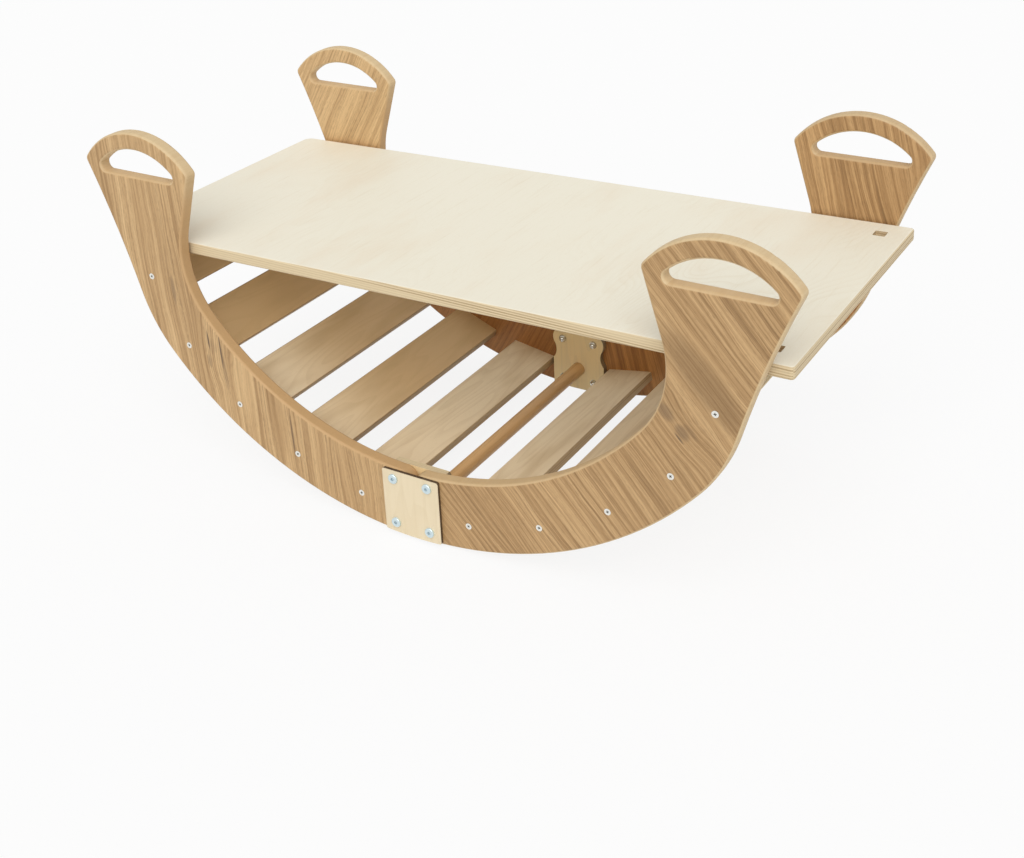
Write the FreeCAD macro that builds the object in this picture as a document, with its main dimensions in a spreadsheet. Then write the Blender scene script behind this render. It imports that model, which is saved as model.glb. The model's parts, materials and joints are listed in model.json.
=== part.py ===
import FreeCAD, Part
import math
import os
import Sketcher

# Balance rocker for children: two C-shaped plywood sides, each of two halves joined at the middle by
# an outer and an inner plate, ten slats and a round rung between the sides, and a loose board that
# lies on the two topmost slats. Millimetres, +X along the rocker, +Z up, floor at Z = 0, and the
# origin under the middle of the runners.

SIZES = {
    # Sides
    "panel_thickness": 18.0,
    "clear_width": 402.0,
    "rocker_radius": 486.0,
    "band_width": 90.0,
    "band_end_angle": 49.25,
    "blend_radius": 200.0,
    "flare_radius": 1270.0,
    "neck_radius": 120.0,
    "panel_edge_round": 4.0,
    "joint_corner_round": 18.0,
    "joint_foot_round": 6.0,
    # Handles on top of the sides
    "handle_reach": 52.9,
    "handle_rise": 154.3,
    "fan_radius": 107.0,
    "fan_half_angle": 53.2,
    "tip_radius": 8.0,
    "handle_rim": 22.0,
    "grip_height": 35.0,
    "grip_corner_radius": 7.2,
    # Slats between the sides
    "slat_inset": 33.5,
    "top_slat_inset": 44.35,
    "first_slat_angle": 9.88,
    "slat_step_angle": 12.694,
    "slat_width": 67.0,
    "slat_thickness": 12.0,
    "slat_edge_round": 1.5,
    # Countersunk wood screws, one in each slat end
    "slat_screw_head": 8.0,
    "slat_screw_shank": 4.0,
    "slat_screw_length": 55.0,
    "slat_screw_point": 4.0,
    # Plates over the joint of the two halves
    "outer_plate_margin": 15.8,
    "outer_plate_thickness": 4.0,
    "outer_plate_corner": 3.0,
    "plate_arc_inset": 3.0,
    "plate_rim_gap": 0.5,
    "inner_plate_slat_gap": 3.42,
    "inner_plate_thickness": 9.0,
    "inner_plate_corner": 3.0,
    "inner_plate_rim_drop": 1.5,
    "side_notch_radius": 21.5,
    "side_notch_depth": 5.2,
    "side_notch_round": 2.0,
    # Bolts and dome nuts that clamp the plates
    "bolt_edge_margin": 16.0,
    "bolt_half_pitch": 30.4,
    "bolt_middle_height": 47.7,
    "bolt_shank": 6.0,
    "bolt_head": 12.6,
    "bolt_head_height": 2.4,
    "bolt_head_round": 1.0,
    "bolt_socket": 4.0,
    "bolt_socket_depth": 2.6,
    "nut_base": 11.0,
    "nut_base_height": 1.6,
    "nut_lip": 0.5,
    "nut_dome_height": 4.6,
    "nut_bore_depth": 4.4,
    "bolt_end_gap": 0.4,
    # Round rung at the middle
    "rung_diameter": 19.0,
    "rung_height": 35.0,
    "rung_end_chamfer": 1.0,
    # Loose board
    "board_side_gap": 3.0,
    "board_thickness": 15.0,
    "board_corner_radius": 12.0,
    "board_slot_end_corner": 4.5,
    "board_edge_round": 2.5,
    "board_slot": 15.0,
    "board_slot_corner": 1.5,
    "slot_end_margin": 24.1,
    "slot_side_margin": 25.5,
    # Battens under the board
    "batten_width": 28.0,
    "batten_thickness": 12.0,
    "batten_end_inset": 22.0,
    "batten_edge_round": 3.0,
    "batten_slot_gap": 4.4,
    "batten_seat_overlap": 4.0,
    "batten_hook_gap": 2.0,
    "batten_end_margin": 23.24,
    "batten_screw_inset": 70.0,
    "batten_screw_head": 7.0,
    "batten_screw_shank": 3.5,
    "batten_screw_length": 25.0,
    "batten_screw_point": 3.5,
    # Cross recess in every wood screw
    "recess_span": 3.6,
    "recess_arm": 1.1,
    "recess_depth": 1.5,
    # Fits
    "screw_clearance": 0.15,
    "rung_clearance": 0.2,
    "seat_gap": 0.3,
    "cut_overrun": 2.0,
}

SLATS_PER_SIDE = 5
SLATS = 2 * SLATS_PER_SIDE
HEX_CORNERS = 6
COUNTERSINK_ANGLE = 45.0
RECESS_TURN = 37.0

# Places of the two middle battens, as shares of the board's length from its slotted end.
MIDDLE_BATTEN_SHARES = (0.245, 0.59)

# Sizes that follow from the driving ones, written once for the model and for the numbers here.
SLAT_CIRCLE = "(Sizes.rocker_radius - Sizes.slat_inset)"
TOP_CIRCLE = "(Sizes.rocker_radius - Sizes.top_slat_inset)"
TOP_ANGLE = "(Sizes.first_slat_angle + %d * Sizes.slat_step_angle)" % (SLATS_PER_SIDE - 1)
HALF_SLAT = "(Sizes.slat_width / 2 - Sizes.slat_edge_round)"
HALF_STOCK = "(Sizes.slat_thickness / 2 - Sizes.slat_edge_round)"
# Centre of the rounding on the inner upper edge of a topmost slat, which carries the board.
SEAT_X = "(%s * sin(%s) + %s * cos(%s) - %s * sin(%s))" % (
    TOP_CIRCLE, TOP_ANGLE, HALF_SLAT, TOP_ANGLE, HALF_STOCK, TOP_ANGLE)
SEAT_Z = "(Sizes.rocker_radius - %s * cos(%s) + %s * sin(%s) + %s * cos(%s))" % (
    TOP_CIRCLE, TOP_ANGLE, HALF_SLAT, TOP_ANGLE, HALF_STOCK, TOP_ANGLE)
# How far out the outer upper edge of a topmost slat reaches, where the last batten hooks on.
HOOK_X = "(%s + 2 * %s * sin(%s) + Sizes.slat_edge_round)" % (SEAT_X, HALF_STOCK, TOP_ANGLE)
FIRST_BATTEN = "(%s + Sizes.batten_seat_overlap)" % SEAT_X
LAST_BATTEN = "(-%s - Sizes.batten_hook_gap - Sizes.batten_width / 2)" % HOOK_X
SLOT_INNER = "(%s + Sizes.batten_width / 2 + Sizes.batten_slot_gap)" % FIRST_BATTEN
SLOT_OUTER = "(%s + Sizes.board_slot)" % SLOT_INNER
BOARD_RIGHT = "(%s + Sizes.slot_end_margin)" % SLOT_OUTER
BOARD_LEFT = "(%s - Sizes.batten_width / 2 - Sizes.batten_end_margin)" % LAST_BATTEN
BOARD_SIDE = "(Sizes.clear_width / 2 - Sizes.board_side_gap)"
SLOT_FAR = "(%s - Sizes.slot_side_margin)" % BOARD_SIDE
SLOT_NEAR = "(%s - Sizes.board_slot)" % SLOT_FAR
BATTEN_LENGTH = "(2 * %s - 2 * Sizes.batten_end_inset)" % BOARD_SIDE
# Half the gap between the two lowest slats, which takes the inner plate.
LOW_SLAT_X = "(%s * sin(Sizes.first_slat_angle) - Sizes.slat_width / 2 * cos(Sizes.first_slat_angle)" \
    " - Sizes.slat_thickness / 2 * sin(Sizes.first_slat_angle))" % SLAT_CIRCLE
INNER_PLATE_HALF = "(%s - Sizes.inner_plate_slat_gap)" % LOW_SLAT_X
BOLT_SPREAD = "(%s - Sizes.bolt_edge_margin)" % INNER_PLATE_HALF
OUTER_PLATE_HALF = "(%s + Sizes.outer_plate_margin)" % BOLT_SPREAD
BOLT_GRIP = "(Sizes.outer_plate_thickness + Sizes.panel_thickness + Sizes.inner_plate_thickness)"
BOLT_REACH = "(%s + Sizes.nut_bore_depth - Sizes.bolt_end_gap)" % BOLT_GRIP
BOLT_HOLE = "(Sizes.bolt_shank + 2 * Sizes.screw_clearance)"
RUNG_HOLE = "(Sizes.rung_diameter + 2 * Sizes.rung_clearance)"

doc = FreeCAD.newDocument("balance_rocker")
sheet = doc.addObject("Spreadsheet::Sheet", "Sizes")
for row, (alias, value) in enumerate(SIZES.items(), start=1):
    sheet.set("A%d" % row, alias)
    sheet.set("B%d" % row, str(value))
    sheet.setAlias("B%d" % row, alias)
doc.recompute()

Vector = FreeCAD.Vector
X_AXIS = Vector(1, 0, 0)
Y_AXIS = Vector(0, 1, 0)
Z_AXIS = Vector(0, 0, 1)
parts = []


def worth(expression):
    """Gives the value of an expression on the sheet."""
    return float(sheet.evalExpression(expression))


def size(alias):
    """Gives a driving dimension from the sheet."""
    return float(sheet.get(alias))


def radians(alias):
    """Gives a driving angle from the sheet in radians."""
    return math.radians(size(alias))


def point(x, y):
    """Makes a point of a sketch from its two coordinates."""
    return Vector(x, y, 0)


def towards(start, end, distance):
    """Gives the point at a distance from start on the way to end."""
    return start + (end - start).normalize() * distance


def circles_meet(first, first_radius, second, second_radius, side):
    """Gives where two circles cross, on the right (side 1) or left (side -1) of first to second."""
    across = second - first
    gap = across.Length
    along = (first_radius ** 2 - second_radius ** 2 + gap ** 2) / (2 * gap)
    rise = math.sqrt(first_radius ** 2 - along ** 2)
    unit = across / gap
    right = point(unit.y, -unit.x)
    return first + unit * along + right * (side * rise)


# Tools for drawing sketches and turning them into solids

def new_body(label):
    """Adds an empty body with a label of its own."""
    body = doc.addObject("PartDesign::Body", label)
    body.Label = label
    return body


def finish(node):
    """Counts an object of the document among the pieces that are written."""
    parts.append(node)
    return node


def sketch_on(body, role, name, offset=None):
    """Adds a sketch on one of a body's own origin planes, moved along its normal by an expression."""
    sketch = body.newObject("Sketcher::SketchObject", name)
    plane = [item for item in body.Origin.OriginFeatures if item.Role == role][0]
    sketch.AttachmentSupport = [(plane, "")]
    sketch.MapMode = "FlatFace"
    if offset:
        sketch.setExpression("AttachmentOffset.Base.z", offset)
    return sketch


def bound(sketch, constraint, name, expression):
    """Adds a named constraint and binds it to the sheet."""
    index = sketch.addConstraint(constraint)
    sketch.renameConstraint(index, name)
    sketch.setExpression("Constraints." + name, expression)


def place_point(sketch, index, vertex, x, y):
    """Binds both coordinates of a sketch point to expressions on the sheet."""
    for kind, axis, expression in (("DistanceX", -2, x), ("DistanceY", -1, y)):
        value = worth(expression)
        name = "%s_%d_%d" % (kind, index, vertex)
        if abs(value) < Part.Precision.confusion():
            sketch.addConstraint(Sketcher.Constraint("PointOnObject", index, vertex, axis))
        elif value > 0:
            bound(sketch, Sketcher.Constraint(kind, -1, 1, index, vertex, value), name, expression)
        else:
            turned = Sketcher.Constraint(kind, index, vertex, -1, 1, -value)
            bound(sketch, turned, name, "-(%s)" % expression)


def draw_polygon(sketch, corners):
    """Draws a closed polygon whose corners are pairs of expressions on the sheet."""
    points = [point(worth(x), worth(y)) for x, y in corners]
    first = sketch.GeometryCount
    count = len(points)
    for number in range(count):
        edge = Part.LineSegment(points[number], points[(number + 1) % count])
        sketch.addGeometry(edge, False)
    for number in range(count):
        following = first + (number + 1) % count
        sketch.addConstraint(Sketcher.Constraint("Coincident", first + number, 2, following, 1))
    for number, (x, y) in enumerate(corners):
        place_point(sketch, first + number, 1, x, y)


def draw_rectangle(sketch, left, right, low, high):
    """Draws a rectangle whose four sides are expressions on the sheet."""
    draw_polygon(sketch, [(left, low), (right, low), (right, high), (left, high)])


def draw_circle(sketch, centre, diameter):
    """Draws a circle at a point, with its diameter bound to an expression on the sheet."""
    number = sketch.GeometryCount
    width = worth(diameter)
    sketch.addGeometry(Part.Circle(centre, Z_AXIS, width / 2), False)
    bound(sketch, Sketcher.Constraint("Diameter", number, width), "diameter_%d" % number, diameter)


def draw_loop(sketch, steps):
    """Draws a closed loop of lines and arcs and joins their ends.

    A step is (end, None) for a line or (end, (centre, turn, expression)) for an arc, where turn is 1
    for anticlockwise, and the expression binds the arc's radius. The loop starts at the end of its
    last step.
    """
    here = steps[-1][0]
    ends = []
    for there, bend in steps:
        if bend is None:
            index = sketch.addGeometry(Part.LineSegment(here, there), False)
            ends.append((index, 1, 2))
        else:
            centre, turn, expression = bend
            first, last = (here, there) if turn > 0 else (there, here)
            circle = Part.Circle(centre, Z_AXIS, worth(expression))
            begin = math.atan2(first.y - centre.y, first.x - centre.x)
            stop = math.atan2(last.y - centre.y, last.x - centre.x)
            index = sketch.addGeometry(Part.ArcOfCircle(circle, begin, stop), False)
            ends.append((index, 1, 2) if turn > 0 else (index, 2, 1))
            radius = Sketcher.Constraint("Radius", index, circle.Radius)
            bound(sketch, radius, "radius_%d" % index, expression)
        here = there
    for (one, _, tail), (other, head, _) in zip(ends, ends[1:] + ends[:1]):
        sketch.addConstraint(Sketcher.Constraint("Coincident", one, tail, other, head))


def pad(body, sketch, name, length, reverse=False, middle=False):
    """Raises a sketch to a length bound to the sheet."""
    feature = body.newObject("PartDesign::Pad", name)
    feature.Profile = sketch
    feature.Reversed = reverse
    feature.SideType = "Symmetric" if middle else "One side"
    feature.setExpression("Length", length)
    doc.recompute()
    return feature


def pocket(body, sketch, name, depth, reverse=False, taper=0.0):
    """Cuts a sketch to a depth bound to the sheet, and makes sure that it takes something away."""
    doc.recompute()
    before = body.Shape.Volume
    feature = body.newObject("PartDesign::Pocket", name)
    feature.Profile = sketch
    feature.Reversed = reverse
    feature.TaperAngle = taper
    feature.setExpression("Length", depth)
    doc.recompute()
    if not body.Shape.Volume < before:
        raise RuntimeError("%s cuts nothing" % name)
    return feature


def revolve(body, sketch, name):
    """Turns a sketch once about its own upright axis."""
    feature = body.newObject("PartDesign::Revolution", name)
    feature.Profile = sketch
    feature.ReferenceAxis = (sketch, ["V_Axis"])
    doc.recompute()
    return feature


def round_edges(body, name, wanted, radius):
    """Rounds the edges of a body that a test picks."""
    base = body.Tip
    names = []
    for number, edge in enumerate(base.Shape.Edges, start=1):
        if wanted(edge):
            names.append("Edge%d" % number)
    feature = body.newObject("PartDesign::Fillet", name)
    feature.Base = (base, names)
    feature.setExpression("Radius", radius)
    doc.recompute()
    return feature


def runs_along(axis):
    """Makes a test that picks the straight edges along an axis."""
    def wanted(edge):
        if not isinstance(edge.Curve, Part.Line):
            return False
        return abs(abs(edge.Curve.Direction.dot(axis)) - 1) < Part.Precision.confusion()
    return wanted


def lies_across(axis):
    """Makes a test that picks the edges in planes square to an axis."""
    def wanted(edge):
        box = edge.BoundBox
        reach = Vector(box.XLength, box.YLength, box.ZLength).dot(axis)
        return reach < size("screw_clearance")
    return wanted


def copies(label, master, places):
    """Makes one node of several equal solids, each a copy of a master at its own place."""
    solids = []
    for place in places:
        solid = master.Shape.copy()
        solid.Placement = place
        solids.append(solid)
    node = doc.addObject("Part::Feature", label)
    node.Label = label
    node.Shape = Part.makeCompound(solids)
    node.Placement = FreeCAD.Placement()
    return finish(node)


# Places that several pieces share

def outer_face():
    """Gives how far the sides' outer faces stand from the middle."""
    return size("clear_width") / 2 + size("panel_thickness")


def slat_angle(number):
    """Gives a slat's angle from straight down: slats 1 to 5 are on the left, 6 to 10 on the right."""
    from_middle = number - SLATS_PER_SIDE - 1 if number > SLATS_PER_SIDE else SLATS_PER_SIDE - number
    angle = radians("first_slat_angle") + from_middle * radians("slat_step_angle")
    return angle if number > SLATS_PER_SIDE else -angle


def on_arc(radius, angle):
    """Gives the point at a radius and an angle from straight down about the runners' centre."""
    return point(radius * math.sin(angle), size("rocker_radius") - radius * math.cos(angle))


def fan_place():
    """Gives the centre of a right handle's rim, out and up from the middle of the band's end."""
    band_end = on_arc(size("rocker_radius") - size("band_width") / 2, radians("band_end_angle"))
    return band_end + point(size("handle_reach"), size("handle_rise"))


def screw_place(number):
    """Gives where the screws of a slat enter the sides, seen from the front."""
    circle = TOP_CIRCLE if number in (1, SLATS) else SLAT_CIRCLE
    return on_arc(worth(circle), slat_angle(number))


def bolt_places():
    """Gives where the four bolts of a joint pass through a side, seen from the front."""
    spread = worth(BOLT_SPREAD)
    low = size("bolt_middle_height") - size("bolt_half_pitch")
    high = size("bolt_middle_height") + size("bolt_half_pitch")
    return [point(-spread, low), point(spread, low), point(-spread, high), point(spread, high)]


def board_place():
    """Gives the board's place: its left end lies on the top slat itself, its right end on a batten."""
    tilt = math.asin(size("batten_thickness") / (2 * worth(SEAT_X)))
    lift = size("slat_edge_round") + size("seat_gap")
    height = worth(SEAT_Z) + worth(SEAT_X) * math.tan(tilt) + lift / math.cos(tilt)
    turn = FreeCAD.Rotation(Y_AXIS, -math.degrees(tilt))
    return FreeCAD.Placement(Vector(0, 0, height), turn)


def batten_middles():
    """Gives the middles of the four battens along the board, from its slotted end."""
    length = "(%s - %s)" % (BOARD_RIGHT, BOARD_LEFT)
    between = ["(%s - %s * %s)" % (BOARD_RIGHT, share, length) for share in MIDDLE_BATTEN_SHARES]
    return [FIRST_BATTEN] + between + [LAST_BATTEN]


def batten_screw_offset():
    """Gives how far each batten's screws stand from the board's middle line."""
    return worth(BATTEN_LENGTH) / 2 - size("batten_screw_inset")


# Half sides with their handles

def mirrored(step, hand):
    """Turns a step of an outline over to the left for hand -1."""
    end, bend = step
    there = point(hand * end.x, end.y)
    if bend is None:
        return there, None
    centre, turn, expression = bend
    return there, (point(hand * centre.x, centre.y), hand * turn, expression)


def panel_outline(hand):
    """Gives the outline of a half side, right for hand 1 and left for hand -1, as steps of a loop.

    From the foot of the joint: runner arc, convex blend, long hollow flare, rounded tip, rim of the
    handle, rounded tip, straight inner flare, neck, inner arc, and the joint with its rounded corners.
    """
    outer = size("rocker_radius")
    inner = outer - size("band_width")
    end = radians("band_end_angle")
    blend = size("blend_radius")
    flare = size("flare_radius")
    neck = size("neck_radius")
    rim = size("fan_radius")
    tip = size("tip_radius")
    corner = size("joint_corner_round")
    spread = radians("fan_half_angle")
    middle = point(0, outer)
    fan = fan_place()
    outer_tip = fan + point(math.sin(spread), math.cos(spread)) * rim
    inner_tip = fan + point(-math.sin(spread), math.cos(spread)) * rim

    runner_end = on_arc(outer, end)
    blend_centre = on_arc(outer - blend, end)
    flare_centre = circles_meet(blend_centre, flare + blend, outer_tip, flare, 1)
    blend_end = towards(blend_centre, flare_centre, blend)
    outer_round = circles_meet(fan, rim - tip, flare_centre, flare + tip, -1)
    flare_end = towards(flare_centre, outer_round, flare)
    rim_start = towards(fan, outer_round, rim)

    neck_centre = on_arc(inner - neck, end)
    reach = inner_tip - neck_centre
    lean = math.atan2(reach.y, reach.x) - math.acos(neck / reach.Length)
    into_wood = point(math.cos(lean), math.sin(lean))
    neck_end = neck_centre + into_wood * neck
    climb = (inner_tip - neck_end).normalize()
    offset_line = neck_end + into_wood * tip
    back = offset_line - fan
    half = back.dot(climb)
    run = -half + math.sqrt(half ** 2 - back.dot(back) + (rim - tip) ** 2)
    inner_round = offset_line + climb * run
    rim_end = towards(fan, inner_round, rim)
    inner_flare_top = inner_round - into_wood * tip
    neck_start = on_arc(inner, end)

    corner_drop = math.sqrt((inner + corner) ** 2 - corner ** 2)
    corner_centre = point(corner, outer - corner_drop)
    inner_end = towards(middle, corner_centre, inner)
    joint_top = point(0, corner_centre.y)
    heel = size("joint_foot_round")
    foot_centre = point(heel, outer - math.sqrt((outer - heel) ** 2 - heel ** 2))
    runner_start = towards(middle, foot_centre, outer)
    joint_foot = point(0, foot_centre.y)

    steps = [
        (runner_end, (middle, 1, "Sizes.rocker_radius")),
        (blend_end, (blend_centre, 1, "Sizes.blend_radius")),
        (flare_end, (flare_centre, -1, "Sizes.flare_radius")),
        (rim_start, (outer_round, 1, "Sizes.tip_radius")),
        (rim_end, (fan, 1, "Sizes.fan_radius")),
        (inner_flare_top, (inner_round, 1, "Sizes.tip_radius")),
        (neck_end, None),
        (neck_start, (neck_centre, -1, "Sizes.neck_radius")),
        (inner_end, (middle, -1, "Sizes.rocker_radius - Sizes.band_width")),
        (joint_top, (corner_centre, 1, "Sizes.joint_corner_round")),
        (joint_foot, None),
        (runner_start, (foot_centre, 1, "Sizes.joint_foot_round")),
    ]
    return [mirrored(step, hand) for step in steps]


def grip_outline(hand):
    """Gives the finger slot of a handle: a flat below, an arc along the rim and rounded corners."""
    fan = fan_place()
    arc = size("fan_radius") - size("handle_rim")
    corner = size("grip_corner_radius")
    rise = arc - size("grip_height")
    flat = fan.y + rise
    aside = math.sqrt((arc - corner) ** 2 - (rise + corner) ** 2)
    right = point(fan.x + aside, flat + corner)
    left = point(fan.x - aside, flat + corner)
    steps = [
        (towards(fan, right, arc), (right, 1, "Sizes.grip_corner_radius")),
        (towards(fan, left, arc), (fan, 1, "Sizes.fan_radius - Sizes.handle_rim")),
        (point(left.x, flat), (left, 1, "Sizes.grip_corner_radius")),
        (point(right.x, flat), None),
    ]
    return [mirrored(step, hand) for step in steps]


def make_half_side(label, hand, side):
    """Makes one half of a side, with its handle, screw holes and bolt holes.

    The sketches lie in the outer face, from which the front side (side -1) grows to +Y and the back
    side (side 1) to -Y.
    """
    body = new_body(label)
    outline = sketch_on(body, "XZ_Plane", label + "_outline")
    draw_loop(outline, panel_outline(hand))
    draw_loop(outline, grip_outline(hand))
    pad(body, outline, label + "_sheet", "Sizes.panel_thickness", reverse=side < 0)
    first = SLATS_PER_SIDE + 1 if hand > 0 else 1
    screws = [screw_place(number) for number in range(first, first + SLATS_PER_SIDE)]
    holes = sketch_on(body, "XZ_Plane", label + "_holes")
    for centre in screws:
        draw_circle(holes, centre, "Sizes.slat_screw_shank + 2 * Sizes.screw_clearance")
    for centre in bolt_places():
        if centre.x * hand > 0:
            draw_circle(holes, centre, BOLT_HOLE)
    through = "Sizes.panel_thickness + Sizes.cut_overrun"
    pocket(body, holes, label + "_bores", through, reverse=side > 0)

    seats = sketch_on(body, "XZ_Plane", label + "_seats")
    for centre in screws:
        draw_circle(seats, centre, "Sizes.slat_screw_head + 2 * Sizes.screw_clearance")
    taper = "(Sizes.slat_screw_head - Sizes.slat_screw_shank) / 2 + Sizes.screw_clearance"
    pocket(body, seats, label + "_countersinks", taper, reverse=side > 0, taper=-COUNTERSINK_ANGLE)

    def on_outline(edge):
        return lies_across(Y_AXIS)(edge) and not edge.isClosed()

    round_edges(body, label + "_rounding", on_outline, "Sizes.panel_edge_round")
    body.Placement = FreeCAD.Placement(Vector(0, side * outer_face(), 0), FreeCAD.Rotation())
    return finish(body)


# Slats and rung

def make_slat(number):
    """Makes one slat, with a pilot hole for a screw in each end."""
    label = "slat_%d" % number
    body = new_body(label)
    section = sketch_on(body, "XZ_Plane", label + "_section")
    draw_rectangle(section, "-Sizes.slat_width / 2", "Sizes.slat_width / 2",
                   "-Sizes.slat_thickness / 2", "Sizes.slat_thickness / 2")
    pad(body, section, label + "_bar", "Sizes.clear_width", middle=True)
    round_edges(body, label + "_rounding", runs_along(Y_AXIS), "Sizes.slat_edge_round")
    reach = "Sizes.slat_screw_length - Sizes.panel_thickness + Sizes.screw_clearance"
    for end, sign in (("front", 1), ("back", -1)):
        offset = "%d * Sizes.clear_width / 2" % sign
        pilot = sketch_on(body, "XZ_Plane", "%s_%s_pilot" % (label, end), offset)
        draw_circle(pilot, point(0, 0), "Sizes.slat_screw_shank + 2 * Sizes.screw_clearance")
        pocket(body, pilot, "%s_%s_bore" % (label, end), reach, reverse=sign < 0)
    centre = screw_place(number)
    turn = FreeCAD.Rotation(Y_AXIS, -math.degrees(slat_angle(number)))
    body.Placement = FreeCAD.Placement(Vector(centre.x, 0, centre.y), turn)
    return finish(body)


def make_rung():
    """Makes the round rung, which stands in the inner plates and reaches from side to side."""
    body = new_body("rung")
    section = sketch_on(body, "XZ_Plane", "rung_section")
    draw_circle(section, point(0, size("rung_height")), "Sizes.rung_diameter")
    bar = pad(body, section, "rung_bar", "Sizes.clear_width", middle=True)
    names = []
    for number, edge in enumerate(bar.Shape.Edges, start=1):
        if isinstance(edge.Curve, Part.Circle):
            names.append("Edge%d" % number)
    ends = body.newObject("PartDesign::Chamfer", "rung_ends")
    ends.Base = (bar, names)
    ends.setExpression("Size", "Sizes.rung_end_chamfer")
    doc.recompute()
    return finish(body)


# Plates over the joints

def plate_foot(half):
    """Gives where a plate of some half width ends on the arc just inside the runner."""
    radius = size("rocker_radius") - size("plate_arc_inset")
    return size("rocker_radius") - math.sqrt(radius ** 2 - half ** 2)


def foot_arc():
    """Gives the bend of a plate's lower edge."""
    return point(0, size("rocker_radius")), 1, "Sizes.rocker_radius - Sizes.plate_arc_inset"


def make_outer_plate(label, side):
    """Makes the plain thin plate on a side's outer face, with four bolt holes."""
    body = new_body(label)
    half = worth(OUTER_PLATE_HALF)
    top = size("band_width") - size("plate_rim_gap")
    foot = plate_foot(half)
    outline = sketch_on(body, "XZ_Plane", label + "_outline")
    draw_loop(outline, [
        (point(half, foot), foot_arc()),
        (point(half, top), None),
        (point(-half, top), None),
        (point(-half, foot), None),
    ])
    for centre in bolt_places():
        draw_circle(outline, centre, BOLT_HOLE)
    pad(body, outline, label + "_sheet", "Sizes.outer_plate_thickness", reverse=side > 0)
    round_edges(body, label + "_corners", runs_along(Y_AXIS), "Sizes.outer_plate_corner")
    body.Placement = FreeCAD.Placement(Vector(0, side * outer_face(), 0), FreeCAD.Rotation())
    return finish(body)


def make_inner_plate(label, side):
    """Makes the waisted plate on a side's inner face, with the bolt holes and the rung's socket.

    Each upper bolt stands in the middle of a round ear, and a hollow waist runs on below the ear to a
    lip on the plate's straight flank.
    """
    body = new_body(label)
    half = worth(INNER_PLATE_HALF)
    top = size("band_width") - size("inner_plate_rim_drop")
    foot = plate_foot(half)
    ear = size("bolt_edge_margin")
    notch = size("side_notch_radius")
    beyond = notch - size("side_notch_depth")
    bolt = bolt_places()[-1]
    waist = point(half + beyond, bolt.y - math.sqrt((ear + notch) ** 2 - (ear + beyond) ** 2))
    lip = point(half, waist.y - math.sqrt(notch ** 2 - beyond ** 2))
    ear_foot = towards(bolt, waist, ear)
    ear_top = point(bolt.x + math.sqrt(ear ** 2 - (top - bolt.y) ** 2), top)
    right_steps = [
        (lip, None),
        (ear_foot, (waist, -1, "Sizes.side_notch_radius")),
        (ear_top, (bolt, 1, "Sizes.bolt_edge_margin")),
    ]
    left_steps = [
        (point(-ear_top.x, top), None),
        (point(-ear_foot.x, ear_foot.y), (point(-bolt.x, bolt.y), 1, "Sizes.bolt_edge_margin")),
        (point(-half, lip.y), (point(-waist.x, waist.y), -1, "Sizes.side_notch_radius")),
        (point(-half, foot), None),
    ]
    outline = sketch_on(body, "XZ_Plane", label + "_outline")
    draw_loop(outline, [(point(half, foot), foot_arc())] + right_steps + left_steps)
    for centre in bolt_places():
        draw_circle(outline, centre, BOLT_HOLE)
    draw_circle(outline, point(0, size("rung_height")), RUNG_HOLE)
    pad(body, outline, label + "_sheet", "Sizes.inner_plate_thickness", reverse=side < 0)

    def at_height(height):
        def wanted(edge):
            return runs_along(Y_AXIS)(edge) and abs(edge.CenterOfMass.z - height) < size("screw_clearance")
        return wanted

    round_edges(body, label + "_corners", at_height(top), "Sizes.inner_plate_corner")
    round_edges(body, label + "_lips", at_height(lip.y), "Sizes.side_notch_round")
    inside = side * size("clear_width") / 2
    body.Placement = FreeCAD.Placement(Vector(0, inside, 0), FreeCAD.Rotation())
    return finish(body)


# Fasteners

def make_wood_screw(label, kind):
    """Makes a countersunk screw with its head's top at Z = 0 and its point down, as a master."""
    body = new_body(label)
    head = "Sizes.%s_head / 2" % kind
    shank = "Sizes.%s_shank / 2" % kind
    length = "Sizes.%s_length" % kind
    shoulder = "Sizes.%s_point - %s" % (kind, length)
    profile = sketch_on(body, "XZ_Plane", label + "_profile")
    draw_polygon(profile, [("0", "-" + length), (shank, shoulder), (shank, "%s - %s" % (shank, head)),
                           (head, "0"), ("0", "0")])
    revolve(body, profile, label + "_turned")
    span = "Sizes.recess_span / 2"
    arm = "Sizes.recess_arm / 2"
    quarter = [(span, "-" + arm), (span, arm), (arm, arm)]
    corners = []
    for turn in range(4):
        corners.extend(quarter)
        quarter = [("-(%s)" % y, x) for x, y in quarter]
    cross = sketch_on(body, "XY_Plane", label + "_cross")
    draw_polygon(cross, corners)
    pocket(body, cross, label + "_recess", "Sizes.recess_depth")
    return body


def make_bolt():
    """Makes a flat-headed bolt with a hexagon socket, seated at Z = 0 and pointing down, as a master."""
    body = new_body("bolt_master")
    shank = "Sizes.bolt_shank / 2"
    head = "Sizes.bolt_head / 2"
    top = "Sizes.bolt_head_height"
    profile = sketch_on(body, "XZ_Plane", "bolt_profile")
    draw_polygon(profile, [("0", "-" + BOLT_REACH), (shank, "-" + BOLT_REACH), (shank, "0"),
                           (head, "0"), (head, top), ("0", top)])
    revolve(body, profile, "bolt_turned")

    def rim(edge):
        wide = edge.BoundBox.XLength > size("bolt_head") - size("bolt_head_round")
        return wide and edge.CenterOfMass.z > size("bolt_head_height") / 2

    round_edges(body, "bolt_rim", lambda edge: rim(edge) and lies_across(Z_AXIS)(edge),
                "Sizes.bolt_head_round")
    socket = sketch_on(body, "XY_Plane", "bolt_hexagon", top)
    step = 360 // HEX_CORNERS
    corners = []
    for turn in range(0, 360, step):
        reach = "Sizes.bolt_socket / sqrt(3)"
        corners.append(("%s * cos(%d)" % (reach, turn), "%s * sin(%d)" % (reach, turn)))
    draw_polygon(socket, corners)
    pocket(body, socket, "bolt_socket_cut", "Sizes.bolt_socket_depth")
    return body


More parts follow.
